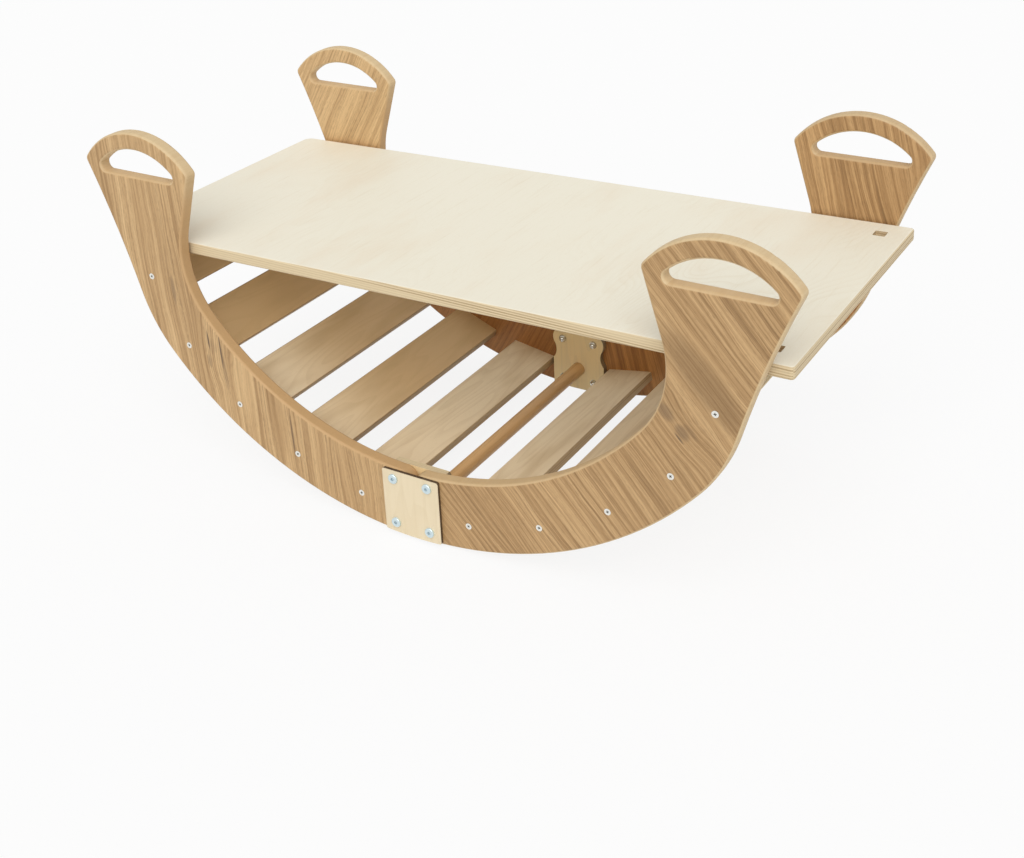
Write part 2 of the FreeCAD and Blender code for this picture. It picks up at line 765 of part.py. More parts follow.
def make_dome_nut():
    """Makes a dome nut that stands on Z = 0 with its bore open below, as a master."""
    body = new_body("dome_nut_master")
    bore = worth(BOLT_HOLE) / 2
    base = size("nut_base") / 2
    ledge = size("nut_base_height")
    dome = base - size("nut_lip")
    rise = size("nut_dome_height")
    depth = size("nut_bore_depth")
    ball = "((Sizes.nut_base / 2 - Sizes.nut_lip) ^ 2 + Sizes.nut_dome_height ^ 2)" \
        " / (2 * Sizes.nut_dome_height)"
    centre = point(0, ledge + rise - worth(ball))
    profile = sketch_on(body, "XZ_Plane", "dome_nut_profile")
    draw_loop(profile, [
        (point(base, 0), None),
        (point(base, ledge), None),
        (point(dome, ledge), None),
        (point(0, ledge + rise), (centre, 1, ball)),
        (point(0, depth), None),
        (point(bore, depth), None),
        (point(bore, 0), None),
    ])
    revolve(body, profile, "dome_nut_turned")
    return body


def facing(side, x, y, z, spin=0.0):
    """Gives a place whose own Z points out to the front (side -1) or the back (side 1)."""
    turn = FreeCAD.Rotation(X_AXIS, -90 * side).multiply(FreeCAD.Rotation(Z_AXIS, spin))
    return FreeCAD.Placement(Vector(x, y, z), turn)


def make_side_fasteners(name, side, screw, bolt, nut):
    """Places the slat screws, the bolts and the dome nuts of one side."""
    face = side * outer_face()
    screws = []
    for number in range(1, SLATS + 1):
        centre = screw_place(number)
        screws.append(facing(side, centre.x, face, centre.y, RECESS_TURN * number))
    copies(name + "_slat_screws", screw, screws)
    seat = side * (outer_face() + size("outer_plate_thickness"))
    inside = side * (size("clear_width") / 2 - size("inner_plate_thickness"))
    bolts = []
    nuts = []
    for number, centre in enumerate(bolt_places()):
        bolts.append(facing(side, centre.x, seat, centre.y, RECESS_TURN * number))
        nuts.append(facing(-side, centre.x, inside, centre.y))
    copies(name + "_plate_bolts", bolt, bolts)
    copies(name + "_dome_nuts", nut, nuts)


# Board and battens

def make_board():
    """Makes the loose board, with its two slots and the pilot holes of the batten screws."""
    body = new_body("board")
    outline = sketch_on(body, "XY_Plane", "board_outline")
    draw_rectangle(outline, BOARD_LEFT, BOARD_RIGHT, "-" + BOARD_SIDE, BOARD_SIDE)
    pad(body, outline, "board_sheet", "Sizes.board_thickness")

    def at_slots(edge):
        return runs_along(Z_AXIS)(edge) and edge.CenterOfMass.x > 0

    def away_from_slots(edge):
        return runs_along(Z_AXIS)(edge) and edge.CenterOfMass.x < 0

    round_edges(body, "board_slot_end", at_slots, "Sizes.board_slot_end_corner")
    round_edges(body, "board_plain_end", away_from_slots, "Sizes.board_corner_radius")
    round_edges(body, "board_rounding", lies_across(Z_AXIS), "Sizes.board_edge_round")
    slots = sketch_on(body, "XY_Plane", "board_slots", "-Sizes.cut_overrun")
    draw_rectangle(slots, SLOT_INNER, SLOT_OUTER, SLOT_NEAR, SLOT_FAR)
    draw_rectangle(slots, SLOT_INNER, SLOT_OUTER, "-" + SLOT_FAR, "-" + SLOT_NEAR)
    pocket(body, slots, "board_slot_cuts", "Sizes.board_thickness + 2 * Sizes.cut_overrun", reverse=True)
    inner = worth(SLOT_INNER)
    outer = worth(SLOT_OUTER)
    slack = size("board_slot_corner")

    def slot_corner(edge):
        place = edge.CenterOfMass.x
        return runs_along(Z_AXIS)(edge) and inner - slack < place < outer + slack

    round_edges(body, "board_slot_corners", slot_corner, "Sizes.board_slot_corner")
    pilots = sketch_on(body, "XY_Plane", "board_pilots")
    for middle in batten_middles():
        for sign in (-1, 1):
            centre = point(worth(middle), sign * batten_screw_offset())
            draw_circle(pilots, centre, "Sizes.batten_screw_shank + 2 * Sizes.screw_clearance")
    reach = "Sizes.batten_screw_length - Sizes.batten_thickness + Sizes.screw_clearance"
    pocket(body, pilots, "board_pilot_bores", reach, reverse=True)
    body.Placement = board_place()
    return finish(body)


def make_batten(number, middle):
    """Makes one batten under the board, with two countersunk screw holes."""
    label = "batten_%d" % number
    body = new_body(label)
    outline = sketch_on(body, "XY_Plane", label + "_outline")
    half = "%s / 2" % BATTEN_LENGTH
    draw_rectangle(outline, "%s - Sizes.batten_width / 2" % middle, "%s + Sizes.batten_width / 2" % middle,
                   "-" + half, half)
    pad(body, outline, label + "_bar", "Sizes.batten_thickness", reverse=True)
    low = -size("batten_thickness") / 2

    def below(edge):
        return edge.CenterOfMass.z < low and lies_across(Z_AXIS)(edge)

    round_edges(body, label + "_rounding", below, "Sizes.batten_edge_round")
    holes = sketch_on(body, "XY_Plane", label + "_holes")
    seats = sketch_on(body, "XY_Plane", label + "_seats", "-Sizes.batten_thickness")
    for sign in (-1, 1):
        centre = point(worth(middle), sign * batten_screw_offset())
        draw_circle(holes, centre, "Sizes.batten_screw_shank + 2 * Sizes.screw_clearance")
        draw_circle(seats, centre, "Sizes.batten_screw_head + 2 * Sizes.screw_clearance")
    pocket(body, holes, label + "_bores", "Sizes.batten_thickness + Sizes.cut_overrun")
    taper = "(Sizes.batten_screw_head - Sizes.batten_screw_shank) / 2 + Sizes.screw_clearance"
    pocket(body, seats, label + "_countersinks", taper, reverse=True, taper=-COUNTERSINK_ANGLE)
    body.Placement = board_place()
    return finish(body)


def make_batten_screws(screw):
    """Places the two screws of every batten, with their heads in its underside."""
    over = FreeCAD.Rotation(X_AXIS, 180)
    places = []
    for number, middle in enumerate(batten_middles()):
        for sign in (-1, 1):
            spin = over.multiply(FreeCAD.Rotation(Z_AXIS, RECESS_TURN * (number + sign)))
            seat = Vector(worth(middle), sign * batten_screw_offset(), -size("batten_thickness"))
            places.append(board_place().multiply(FreeCAD.Placement(seat, spin)))
    copies("batten_screws", screw, places)


def check_model():
    """Stops if any object failed or any piece is missing or not a valid solid."""
    for item in doc.Objects:
        if "Invalid" in item.State or "Error" in item.State:
            raise RuntimeError("%s failed" % item.Name)
    for node in parts:
        if node.Shape.isNull() or not node.Shape.isValid() or not node.Shape.Solids:
            raise RuntimeError("%s has no valid solid" % node.Label)


def write_parts():
    """Writes every piece to a file named for its node."""
    os.makedirs("parts", exist_ok=True)
    for node in parts:
        node.Shape.exportStep("parts/%s.step" % node.Label)


for side_name, side_sign in (("front", -1), ("back", 1)):
    make_half_side(side_name + "_left_side", -1, side_sign)
    make_half_side(side_name + "_right_side", 1, side_sign)
    make_outer_plate(side_name + "_outer_plate", side_sign)
    make_inner_plate(side_name + "_inner_plate", side_sign)
for slat_number in range(1, SLATS + 1):
    make_slat(slat_number)
make_rung()
slat_screw = make_wood_screw("slat_screw_master", "slat_screw")
plate_bolt = make_bolt()
dome_nut = make_dome_nut()
for side_name, side_sign in (("front", -1), ("back", 1)):
    make_side_fasteners(side_name, side_sign, slat_screw, plate_bolt, dome_nut)
make_board()
for batten_number, batten_middle in enumerate(batten_middles(), start=1):
    make_batten(batten_number, batten_middle)
make_batten_screws(make_wood_screw("batten_screw_master", "batten_screw"))
doc.recompute()
check_model()
write_parts()
print("%d nodes, %d solids" % (len(parts), sum(len(node.Shape.Solids) for node in parts)))
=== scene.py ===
import json
import math
from functools import partial
from typing import NamedTuple

import bpy
import numpy as np
from mathutils import Color, Matrix, Vector


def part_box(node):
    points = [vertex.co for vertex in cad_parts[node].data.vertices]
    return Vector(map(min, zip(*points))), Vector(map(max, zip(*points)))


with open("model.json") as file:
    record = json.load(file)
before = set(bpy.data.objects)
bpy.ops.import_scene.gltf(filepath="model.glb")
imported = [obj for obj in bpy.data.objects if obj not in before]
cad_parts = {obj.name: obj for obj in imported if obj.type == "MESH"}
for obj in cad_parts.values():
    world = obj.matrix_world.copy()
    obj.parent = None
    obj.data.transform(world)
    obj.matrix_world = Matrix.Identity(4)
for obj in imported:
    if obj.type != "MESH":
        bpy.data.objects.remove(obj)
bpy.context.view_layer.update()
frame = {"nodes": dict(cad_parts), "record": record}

bl_info = {
    "name": "Balance rocker finishes",
    "version": (1, 0, 0),
    "blender": (4, 5, 0),
    "location": "3D View > Sidebar > Rocker",
    "description": "Dresses the packed balance rocker in its wood and metal finishes and sets its stage",
    "category": "Material",
}

BATTENS = 4
BOARD_THICKNESS = 0.015
BOARD_MOUNT = frame["record"]["mounts"][0]
BOARD_TILT = math.asin(BOARD_MOUNT["axis"][0])
BOARD_TOP = BOARD_MOUNT["pos_m"]
DISPLAY_WHITE = 255.0
NOISE_MIDDLE = 0.5
WHITE = (1, 1, 1, 1)


def tone(red, green, blue):
    """Gives Blender's linear colour for a display colour from 0 to 255."""
    shares = [part / DISPLAY_WHITE for part in (red, green, blue)]
    return tuple(Color(shares).from_srgb_to_scene_linear())


def opaque(colour):
    """Adds the fourth number that colour sockets take."""
    return (*colour, 1.0)


def colour_setting(name, description, default):
    """Makes a colour property."""
    return bpy.props.FloatVectorProperty(name=name, description=description, default=default, subtype="COLOR",
                                         size=3, min=0.0, max=1.0)


def length_setting(name, description, default):
    """Makes a length property."""
    return bpy.props.FloatProperty(name=name, description=description, default=default, min=0.0,
                                   unit="LENGTH")


def angle_setting(name, description, default):
    """Makes an angle property from degrees."""
    return bpy.props.FloatProperty(name=name, description=description, default=math.radians(default),
                                   subtype="ANGLE")


def grain_setting(name, default):
    """Makes a property for the lean of a half side's grain, from degrees."""
    return angle_setting(name, "Lean of the grain from upright towards +X", default)


def share_setting(name, description, default, high=1.0):
    """Makes a plain number property."""
    return bpy.props.FloatProperty(name=name, description=description, default=default, min=0.0, max=high)


def lift_setting(name, default):
    """Makes a property that shifts a veneer towards its light or dark colours."""
    return bpy.props.FloatProperty(name=name, description="Shift towards the light or the dark colours",
                                   default=default, min=-0.5, max=0.5)


def group_setting(kind, name, description):
    """Makes a property that holds a group of settings."""
    return bpy.props.PointerProperty(type=kind, name=name, description=description)


# Settings that a user would change

class RockerSideSettings(bpy.types.PropertyGroup):
    """Veneer and edges of the four half sides."""

    light: colour_setting("Light veneer", "Colour of the palest stripes of the veneer", tone(216, 181, 131))
    middle: colour_setting("Veneer", "Main colour of the veneer", tone(192, 156, 109))
    deep: colour_setting("Deep veneer", "Colour of the darker stripes", tone(168, 132, 87))
    streak: colour_setting("Streaks", "Colour of the darkest streaks", tone(124, 94, 57))
    crack: colour_setting("Cracks", "Colour of knots and small cracks", tone(70, 56, 46))
    # Edge colours: the darker first one is the fibreboard's colour with painted shade on the inward edges
    # below the handles; the paler second one is painted light on the outward edges and on the handles
    edge: colour_setting("Edges", "Fibreboard that shows at the rounded edges", tone(198, 161, 114))
    lit_edge: colour_setting("Grip edges", "Paler outer edges and edges of the handles", tone(214, 189, 147))
    # Inner tint: painted shade on the inner faces below the board, and the back right half side's own warmer
    # tone
    inner: colour_setting("Inner faces", "Tint of the veneer towards the slats", tone(240, 208, 164))
    front_left: grain_setting("Front left grain", -2.5)
    front_right: grain_setting("Front right grain", -42.0)
    back_left: grain_setting("Back left grain", 27.5)
    back_right: grain_setting("Back right grain", -15.0)
    front_left_lift: lift_setting("Front left tone", 0.01)
    front_right_lift: lift_setting("Front right tone", -0.062)
    back_left_lift: lift_setting("Back left tone", 0.09)
    back_right_lift: lift_setting("Back right tone", -0.06)
    back_right_warmth: share_setting("Back right warmth", "How far the handle takes the inner tint", 0.25)
    # Painted shade: how far the back left inner face darkens further below the board
    back_left_painted_shade: share_setting("Back left shade", "How far the inner face darkens below the board", 0.45)
    # Lifts the front right inner edges towards the paler colour of the painted light
    front_right_pale: share_setting("Front right edges", "How far they take the grip edges' colour", 0.6)
    veneer: length_setting("Veneer thickness", "Depth at which the core shows on the roundings", 0.0004)


class RockerBirchSettings(bpy.types.PropertyGroup):
    """Birch of the board, the plates, the slats and the battens."""

    board: colour_setting("Board", "Main colour of the board's faces", tone(240, 234, 215))
    blush: colour_setting("Blush", "Warmer patches on the board's faces", tone(236, 223, 199))
    line: colour_setting("Growth lines", "Faint lines of the rotary-cut faces", tone(214, 195, 158))
    pale_ply: colour_setting("Pale plies", "Plies that show along their grain", tone(220, 201, 164))
    dark_ply: colour_setting("Dark plies", "Plies that show across their grain", tone(154, 125, 84))
    gap: colour_setting("Gaps", "Small gaps in the plies", tone(98, 74, 46))
    # Slot walls: also the colour of the painted shade on the slats' long sides
    slot_wall: colour_setting("Slot walls", "Cut walls of the board's two slots", tone(160, 124, 78))
    slat: colour_setting("Slats", "Main colour of the paler slats", tone(236, 215, 180))
    # Golden slats: partly the slats' own tone, partly painted shade below the board
    slat_gold: colour_setting("Golden slats", "Main colour of the more golden slats", tone(212, 178, 128))
    slat_line: colour_setting("Slat lines", "Growth lines of the slats", tone(190, 158, 110))
    batten: colour_setting("Battens", "Main colour of the battens", tone(226, 208, 172))
    plate: colour_setting("Outer plates", "Main colour of the outer plates", tone(230, 214, 182))
    inner_plate: colour_setting("Inner plates", "Main colour of the inner plates", tone(245, 219, 166))
    burn: colour_setting("Burnt edges", "Dark cut edges of the plates", tone(66, 44, 20))
    ply: length_setting("Ply", "Thickness of one ply of the board and the slats", 0.0015)
    plate_ply: length_setting("Plate ply", "Thickness of one ply of the plates", 0.0013)
    slat_width: length_setting("Slat width", "Width of a slat in the frame", 0.067)
    slat_thickness: length_setting("Slat thickness", "Thickness of a slat in the frame", 0.012)
    slat_round: length_setting("Slat rounding", "Radius of a slat's long edges in the frame", 0.0015)


class RockerMetalSettings(bpy.types.PropertyGroup):
    """Screws, bolts and dome nuts, and the beech rung."""

    screw: colour_setting("Screws", "Plating of the wood screws", tone(236, 235, 228))
    bolt: colour_setting("Bolts", "Bluish plating of the plate bolts", tone(208, 224, 228))
    nut: colour_setting("Dome nuts", "Polished dome nuts", tone(200, 196, 184))
    recess: colour_setting("Recesses", "Shaded bottoms of the screws' recesses", tone(110, 108, 102))
    socket: colour_setting("Sockets", "Shaded bottoms of the bolts' sockets", tone(196, 210, 216))
    beech: colour_setting("Rung", "Main colour of the rung", tone(214, 172, 118))
    beech_line: colour_setting("Rung lines", "Growth lines and flecks of the rung", tone(170, 128, 80))
    bolt_head: length_setting("Bolt head", "Diameter of a bolt's head in the frame", 0.0126)


class RockerStageSettings(bpy.types.PropertyGroup):
    """Floor, light and camera."""

    floor: colour_setting("Floor", "Colour of the floor", (0.86, 0.86, 0.86))
    floor_reach: length_setting("Floor reach", "How far the floor runs from the middle", 40.0)
    whiteness: share_setting("Whiteness", "How far the floor is lifted to white for the camera", 0.86)
    sky: share_setting("Sky", "Strength of the even light from all round", 0.57, 10.0)
    lamp: share_setting("Lamp", "Strength of the soft lamp from the front", 1.70, 10.0)
    lamp_spread: angle_setting("Lamp spread", "Width of the soft lamp", 55.0)
    lens: bpy.props.FloatProperty(name="Lens", description="Focal length in millimetres on a 36 mm sensor",
                                  default=50.505, min=1.0)


class RockerSettings(bpy.types.PropertyGroup):
    """All settings of the rocker's looks."""

    sides: group_setting(RockerSideSettings, "Sides", "Veneer and edges of the half sides")
    birch: group_setting(RockerBirchSettings, "Birch", "Board, battens, slats and plates")
    metal: group_setting(RockerMetalSettings, "Metal and rung", "Fasteners and the beech rung")
    stage: group_setting(RockerStageSettings, "Stage", "Floor, light and camera")


# Shader maths

# Colour sockets of a Mix node, by number because its socket names repeat.
MIX_SHARE, MIX_START, MIX_END = 0, 6, 7
MIX_RESULT = 2


class Grain(NamedTuple):
    """A noise: its sizes in metres on the two coordinates it is drawn on, its seed, octaves and roughness."""

    first: float
    second: float
    seed: float = 0.0
    detail: float = 2.0
    rough: float = 0.5


class Show(NamedTuple):
    """How far a value shows: not at all at low, by a share at high, with a smooth step between."""

    low: float
    high: float
    share: float = 1.0


class Tap:
    """An output socket of a node. Sums, products and the like of taps add Math nodes."""

    def __init__(self, finish, socket):
        self.finish = finish
        self.socket = socket

    def __add__(self, other):
        return self.finish.math("ADD", self, other)

    def __radd__(self, other):
        return self.finish.math("ADD", other, self)

    def __sub__(self, other):
        return self.finish.math("SUBTRACT", self, other)

    def __rsub__(self, other):
        return self.finish.math("SUBTRACT", other, self)

    def __mul__(self, other):
        return self.finish.math("MULTIPLY", self, other)

    def __rmul__(self, other):
        return self.finish.math("MULTIPLY", other, self)

    def __truediv__(self, other):
        return self.finish.math("DIVIDE", self, other)

    def __pow__(self, other):
        return self.finish.math("POWER", self, other)

    def __abs__(self):
        return self.finish.math("ABSOLUTE", self)


class Finish:
    """The node tree of a material or a world in the making, with the tools that the patterns share."""

    def __init__(self, owner):
        owner.use_nodes = True
        self.owner = owner
        self.tree = owner.node_tree

    def node(self, kind, settings=None, inputs=None, output=0):
        """Adds a node: first its settings, then the values or links of its sockets."""
        made = self.tree.nodes.new(kind)
        for name, value in (settings or {}).items():
            if name == "stops":
                self.fill_ramp(made.color_ramp, value)
            else:
                setattr(made, name, value)
        for name, value in (inputs or {}).items():
            self.feed(made.inputs[name], value)
        return Tap(self, made.outputs[output])

    def feed(self, socket, value):
        """Links a tap to a socket, or sets a plain value on it."""
        if isinstance(value, Tap):
            self.tree.links.new(value.socket, socket)
        else:
            socket.default_value = value

    def fill_ramp(self, ramp, stops):
        """Gives a colour ramp its stops, as pairs of a position and a colour."""
        while len(ramp.elements) < len(stops):
            ramp.elements.new(1.0)
        for element, (position, colour) in zip(ramp.elements, stops):
            element.position = position
            element.color = opaque(colour)

    def math(self, operation, *values):
        """Adds a Math node on the given values."""
        return self.node("ShaderNodeMath", {"operation": operation}, dict(enumerate(values)))

    def parts(self, vector, axes="XYZ"):
        """Splits a vector into one tap for each of the wanted axes."""
        return [self.node("ShaderNodeSeparateXYZ", inputs={"Vector": vector}, output=axis) for axis in axes]

    def place(self, middle=(0, 0, 0), turn=0.0):
        """Gives Object coordinates seen from a middle point and turned about Y, as three taps."""
        where = self.node("ShaderNodeTexCoord", output="Object")
        turned = self.node("ShaderNodeMapping", {"vector_type": "TEXTURE"},
                           {"Vector": where, "Location": middle, "Rotation": (0, turn, 0)})
        return self.parts(turned)

    def normal(self, axes):
        """Gives the wanted parts of the surface's own normal."""
        return self.parts(self.node("ShaderNodeTexCoord", output="Normal"), axes)

    def noise(self, grain, first, second, seed=0.0):
        """Gives a grain's noise, from 0 to 1, on a plane of its own for each seed."""
        spot = {"X": first / grain.first, "Y": second / grain.second, "Z": seed + grain.seed}
        vector = self.node("ShaderNodeCombineXYZ", inputs=spot)
        return self.node("ShaderNodeTexNoise", {"noise_dimensions": "3D"},
                         {"Vector": vector, "Scale": 1.0, "Detail": grain.detail, "Roughness": grain.rough})

    def rise(self, value, low, high):
        """Gives 0 at low and 1 at high, with a smooth step between."""
        return self.node("ShaderNodeMapRange", {"interpolation_type": "SMOOTHSTEP"},
                         {"Value": value, "From Min": low, "From Max": high})

    def show(self, value, how):
        """Gives how far a value shows."""
        return self.rise(value, how.low, how.high) * how.share

    def ramp(self, value, *stops):
        """Gives the colour of a ramp at a value."""
        return self.node("ShaderNodeValToRGB", {"stops": stops}, {"Fac": value})

    def blend(self, share, start, end, kind="MIX"):
        """Gives start where share is 0 and end, or start tinted by end, where it is 1."""
        settings = {"data_type": "RGBA", "blend_type": kind}
        inputs = {MIX_SHARE: share, MIX_START: start, MIX_END: end}
        return self.node("ShaderNodeMix", settings, inputs, MIX_RESULT)

    def lay(self, under, share, colour, kind="MIX"):
        """Lays a plain colour over another, as far as share says."""
        return self.blend(share, under, opaque(colour), kind)

    def bump(self, height, depth, strength):
        """Gives the normal of a surface whose height runs from 0 to depth."""
        return self.node("ShaderNodeBump", inputs={"Height": height, "Distance": depth, "Strength": strength})

    def done(self, **sockets):
        """Sets the shader's sockets, named with _ for each space, and gives the material."""
        shader = self.tree.nodes["Principled BSDF"]
        for name, value in sockets.items():
            self.feed(shader.inputs[name.replace("_", " ")], value)
        return self.owner


def new_finish(name):
    """Starts a material."""
    return Finish(bpy.data.materials.new(name))


def dress(node, material):
    """Gives a node of the frame its material."""
    slots = frame["nodes"][node].material_slots
    for number in range(len(slots)):
        slots[number].material = material


# Wood of the sides

# Knots, cracks and dark bands of a half side: place along X and up, half width and half length in metres,
# strength, how far the grain swirls aside, and which of the veneer's colours it takes.
SIDE_MARKS = {
    "front_left_side": (
        (-0.1990, 0.1080, 0.0160, 0.0700, 0.40, 0.0, "deep"),
        (-0.2500, 0.1470, 0.0220, 0.0600, 0.40, 0.0, "light"),
        (-0.3220, 0.2150, 0.0180, 0.0500, 0.30, 0.0, "deep"),
        (-0.3015, 0.1980, 0.0016, 0.0160, 0.85, 0.0, "crack"),
        (-0.2825, 0.1860, 0.0018, 0.0300, 0.75, 0.0, "crack"),
        (-0.2960, 0.1900, 0.0080, 0.0140, 0.16, 0.005, "crack"),
        (-0.3030, 0.1690, 0.0050, 0.0120, 0.28, 0.003, "crack"),
        (-0.2790, 0.1560, 0.0040, 0.0300, 0.25, 0.004, "crack"),
        (-0.3500, 0.2580, 0.0040, 0.0260, 0.40, 0.003, "crack"),
        (-0.1790, 0.0930, 0.0015, 0.0400, 0.65, 0.0, "crack"),
    ),
    "front_right_side": (
        (0.3740, 0.3010, 0.0240, 0.0900, 0.52, 0.0, "streak"),
        (0.3300, 0.2590, 0.0090, 0.0170, 0.40, 0.004, "crack"),
        (0.3490, 0.2390, 0.0080, 0.0130, 0.40, 0.004, "crack"),
        (0.3457, 0.2310, 0.0015, 0.0090, 0.65, 0.0, "crack"),
        (0.3590, 0.2420, 0.0040, 0.0140, 0.22, 0.0, "crack"),
    ),
    "back_left_side": ((-0.3300, 0.2100, 0.0050, 0.0200, 0.35, 0.004, "crack"),),
    "back_right_side": ((0.2500, 0.1300, 0.0040, 0.0250, 0.35, 0.004, "crack"),),
}
SIDE_SEED_STEP = 20.0


class Veneer:
    """Pattern of the veneer, drawn across and then along its grain."""

    SWAY = Grain(0.10, 0.42)
    SWAY_REACH = 0.026
    RIPPLE = Grain(0.045, 0.15, 1.3, 3.0)
    RIPPLE_REACH = 0.011
    SWIRL = Show(18.0, 0.0)
    STRIPES = Grain(0.0050, 0.50, 2.3, 5.0, 0.76)
    STRIPE_STOPS = (0.22, 0.38, 0.50, 0.66)
    BANDS = Grain(0.070, 1.0, 3.1)
    BAND_SHARE = 0.14
    LINES_IN_METRE = 200.0
    LINE_DRIFT = 10.0
    LINE_START = Show(0.45, 0.93)
    LINE_END = Show(1.0, 0.94)
    LINE_SHARE = 0.54
    CHOICE = Grain(0.022, 0.5, 6.1, 3.0)
    CHOSEN = Show(0.38, 0.66)
    BREAKS = Grain(0.0009, 0.008, 7.7, 2.0, 0.6)
    UNBROKEN = Show(0.30, 0.60)
    FINE = Grain(0.0012, 0.06, 8.9, 3.0, 0.6)
    FINE_DARK = Show(0.54, 0.78, 0.40)
    FINE_LIGHT = Show(0.46, 0.24, 0.40)
    PORES = Grain(0.0006, 0.009, 9.4, 1.0)
    PORE = Show(0.56, 0.72)
    PORE_SHARE = 0.35
    MARK = Show(1.0, 0.1)
    MARK_SMOOTH = 0.6
    MARK_RAGGED = 0.8
    ROUGHNESS = 0.48
    FINE_ROUGHNESS = 0.16
    CORE_ROUGHNESS = 0.08
    PORE_RELIEF = 0.6
    LINE_RELIEF = 0.25
    FINE_RELIEF = 0.15
    RELIEF = 0.00012
    RELIEF_STRENGTH = 0.5


class Fibreboard:
    """Pattern and places of the fibreboard at the sides' edges, with the edges' painted light and shade, and
    of the tint and painted shade on their inner faces.
    """

    MOTTLE = Grain(0.007, 0.007, 11.3, 3.0, 0.65)
    MOTTLED = Show(0.38, 0.72, 0.28)
    FIBRES = Grain(0.0009, 0.0009, 12.7, 1.0)
    FIBRE = Show(0.55, 0.75, 0.20)
    RIM_HEIGHT = 0.45
    OUTWARD = Show(-0.02, 0.08)
    HANDLE = Show(0.36, 0.44)
    FACE_BLEND = 0.001
    UNDER_BOARD = Show(0.01, -0.04)


def veneered_board(node, look, seed, turn, lift, warmth, shade, paleness):
    """Makes the finish of a half side: veneer on both faces, with fibreboard at the rounded edges.

    The grain's lines sway with a slow noise and swirl past the knots. The stripes are a rough noise of many
    octaves, stretched along the grain and shifted by slow broad bands, thin dark lines are the steps of a saw
    wave across it, pores are short dashes, and a mark is an ellipse along the grain. Below the board the
    inner face takes the inner tint as painted shade, and shade darkens it further as more painted shade.
    Warmth spreads the tint over the whole inner face, handle and all, and tints its edges, as the side's own
    warmer tone. The edges take the pale colour as painted light where they face outward and on the handles,
    keep the darker colour as painted shade where they face inward below them, and paleness lifts them towards
    the pale one.
    """
    finish = new_finish(node + "_veneer")
    x, y, z = finish.place(turn=turn)
    across = x + (finish.noise(Veneer.SWAY, x, z, seed) - NOISE_MIDDLE) * Veneer.SWAY_REACH
    across = across + (finish.noise(Veneer.RIPPLE, x, z, seed) - NOISE_MIDDLE) * Veneer.RIPPLE_REACH
    marks = []
    for mark_x, mark_z, half_width, half_length, strength, swirl, shown in SIDE_MARKS[node]:
        mark_across = mark_x * math.cos(turn) - mark_z * math.sin(turn)
        mark_along = mark_x * math.sin(turn) + mark_z * math.cos(turn)
        off = ((x - mark_across) / half_width) ** 2 + ((z - mark_along) / half_length) ** 2
        marks.append((off, strength, getattr(look, shown)))
        if swirl:
            across = across + finish.show(off, Veneer.SWIRL) * swirl
    stripes = finish.noise(Veneer.STRIPES, across, z, seed)
    broad = finish.noise(Veneer.BANDS, across, z, seed)
    value = stripes + Veneer.BAND_SHARE * (broad - NOISE_MIDDLE) + lift
    colour = finish.ramp(value, *zip(Veneer.STRIPE_STOPS, (look.streak, look.deep, look.middle, look.light)))

    phase = across * Veneer.LINES_IN_METRE + broad * Veneer.LINE_DRIFT
    saw = finish.math("FRACT", phase)
    fine = finish.noise(Veneer.FINE, across, z, seed)
    line = finish.show(saw, Veneer.LINE_START) * finish.show(saw, Veneer.LINE_END)
    line = line * finish.show(finish.noise(Veneer.CHOICE, across, z, seed), Veneer.CHOSEN)
    line = line * finish.show(finish.noise(Veneer.BREAKS, across, z, seed), Veneer.UNBROKEN)
    pores = finish.show(finish.noise(Veneer.PORES, across, z, seed), Veneer.PORE)
    colour = finish.lay(colour, line * Veneer.LINE_SHARE, look.streak)
    colour = finish.lay(colour, finish.show(fine, Veneer.FINE_DARK), look.streak)
    colour = finish.lay(colour, finish.show(fine, Veneer.FINE_LIGHT), look.light)
    colour = finish.lay(colour, pores * Veneer.PORE_SHARE, look.streak)
    for off, strength, shown in marks:
        ragged = off * (Veneer.MARK_SMOOTH + Veneer.MARK_RAGGED * fine)
        colour = finish.lay(colour, finish.show(ragged, Veneer.MARK) * strength, shown)

    low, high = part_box(node)
    middle = abs(low.y + high.y) / 2
    height = z * math.cos(turn) - x * math.sin(turn)
    # Painted shade: below the board the inner face takes the inner tint, and shade darkens it further; warmth
    # spreads the tint over the whole inner face as its own tone
    inner_face = finish.rise(abs(y), middle + Fibreboard.FACE_BLEND, middle - Fibreboard.FACE_BLEND)
    under_board = finish.show(height - BOARD_TOP[2], Fibreboard.UNDER_BOARD)
    tint_and_shade = inner_face * (warmth + (1.0 - warmth) * under_board)
    colour = finish.lay(colour, tint_and_shade, look.inner, "MULTIPLY")
    if shade:
        colour = finish.lay(colour, inner_face * under_board * shade, look.deep, "MULTIPLY")

    # Painted light and shade on the fibreboard edges: paler where they face outward and on the handles,
    # darker where they face inward below them
    normal_x, normal_z = finish.normal("XZ")
    reach = x * math.cos(turn) + z * math.sin(turn)
    outward = normal_x * reach + normal_z * (height - Fibreboard.RIM_HEIGHT)
    outward = finish.show(outward, Fibreboard.OUTWARD)
    pale = finish.math("MAXIMUM", outward, finish.show(height, Fibreboard.HANDLE))
    pale = finish.math("MAXIMUM", pale, paleness)
    edge = finish.blend(pale, opaque(look.edge), opaque(look.lit_edge))
    mottle = finish.noise(Fibreboard.MOTTLE, x, z, seed)
    edge = finish.lay(edge, finish.show(mottle, Fibreboard.MOTTLED), look.middle)
    fibres = finish.noise(Fibreboard.FIBRES, x, z + y, seed)
    edge = finish.lay(edge, finish.show(fibres, Fibreboard.FIBRE), look.deep)
    if warmth:
        edge = finish.lay(edge, warmth, look.deep)
    depth = abs(y - (low.y + high.y) / 2)
    half = (high.y - low.y) / 2
    core = finish.rise(depth, half - look.veneer / 2, half - look.veneer * 2)
    colour = finish.blend(core, colour, edge)

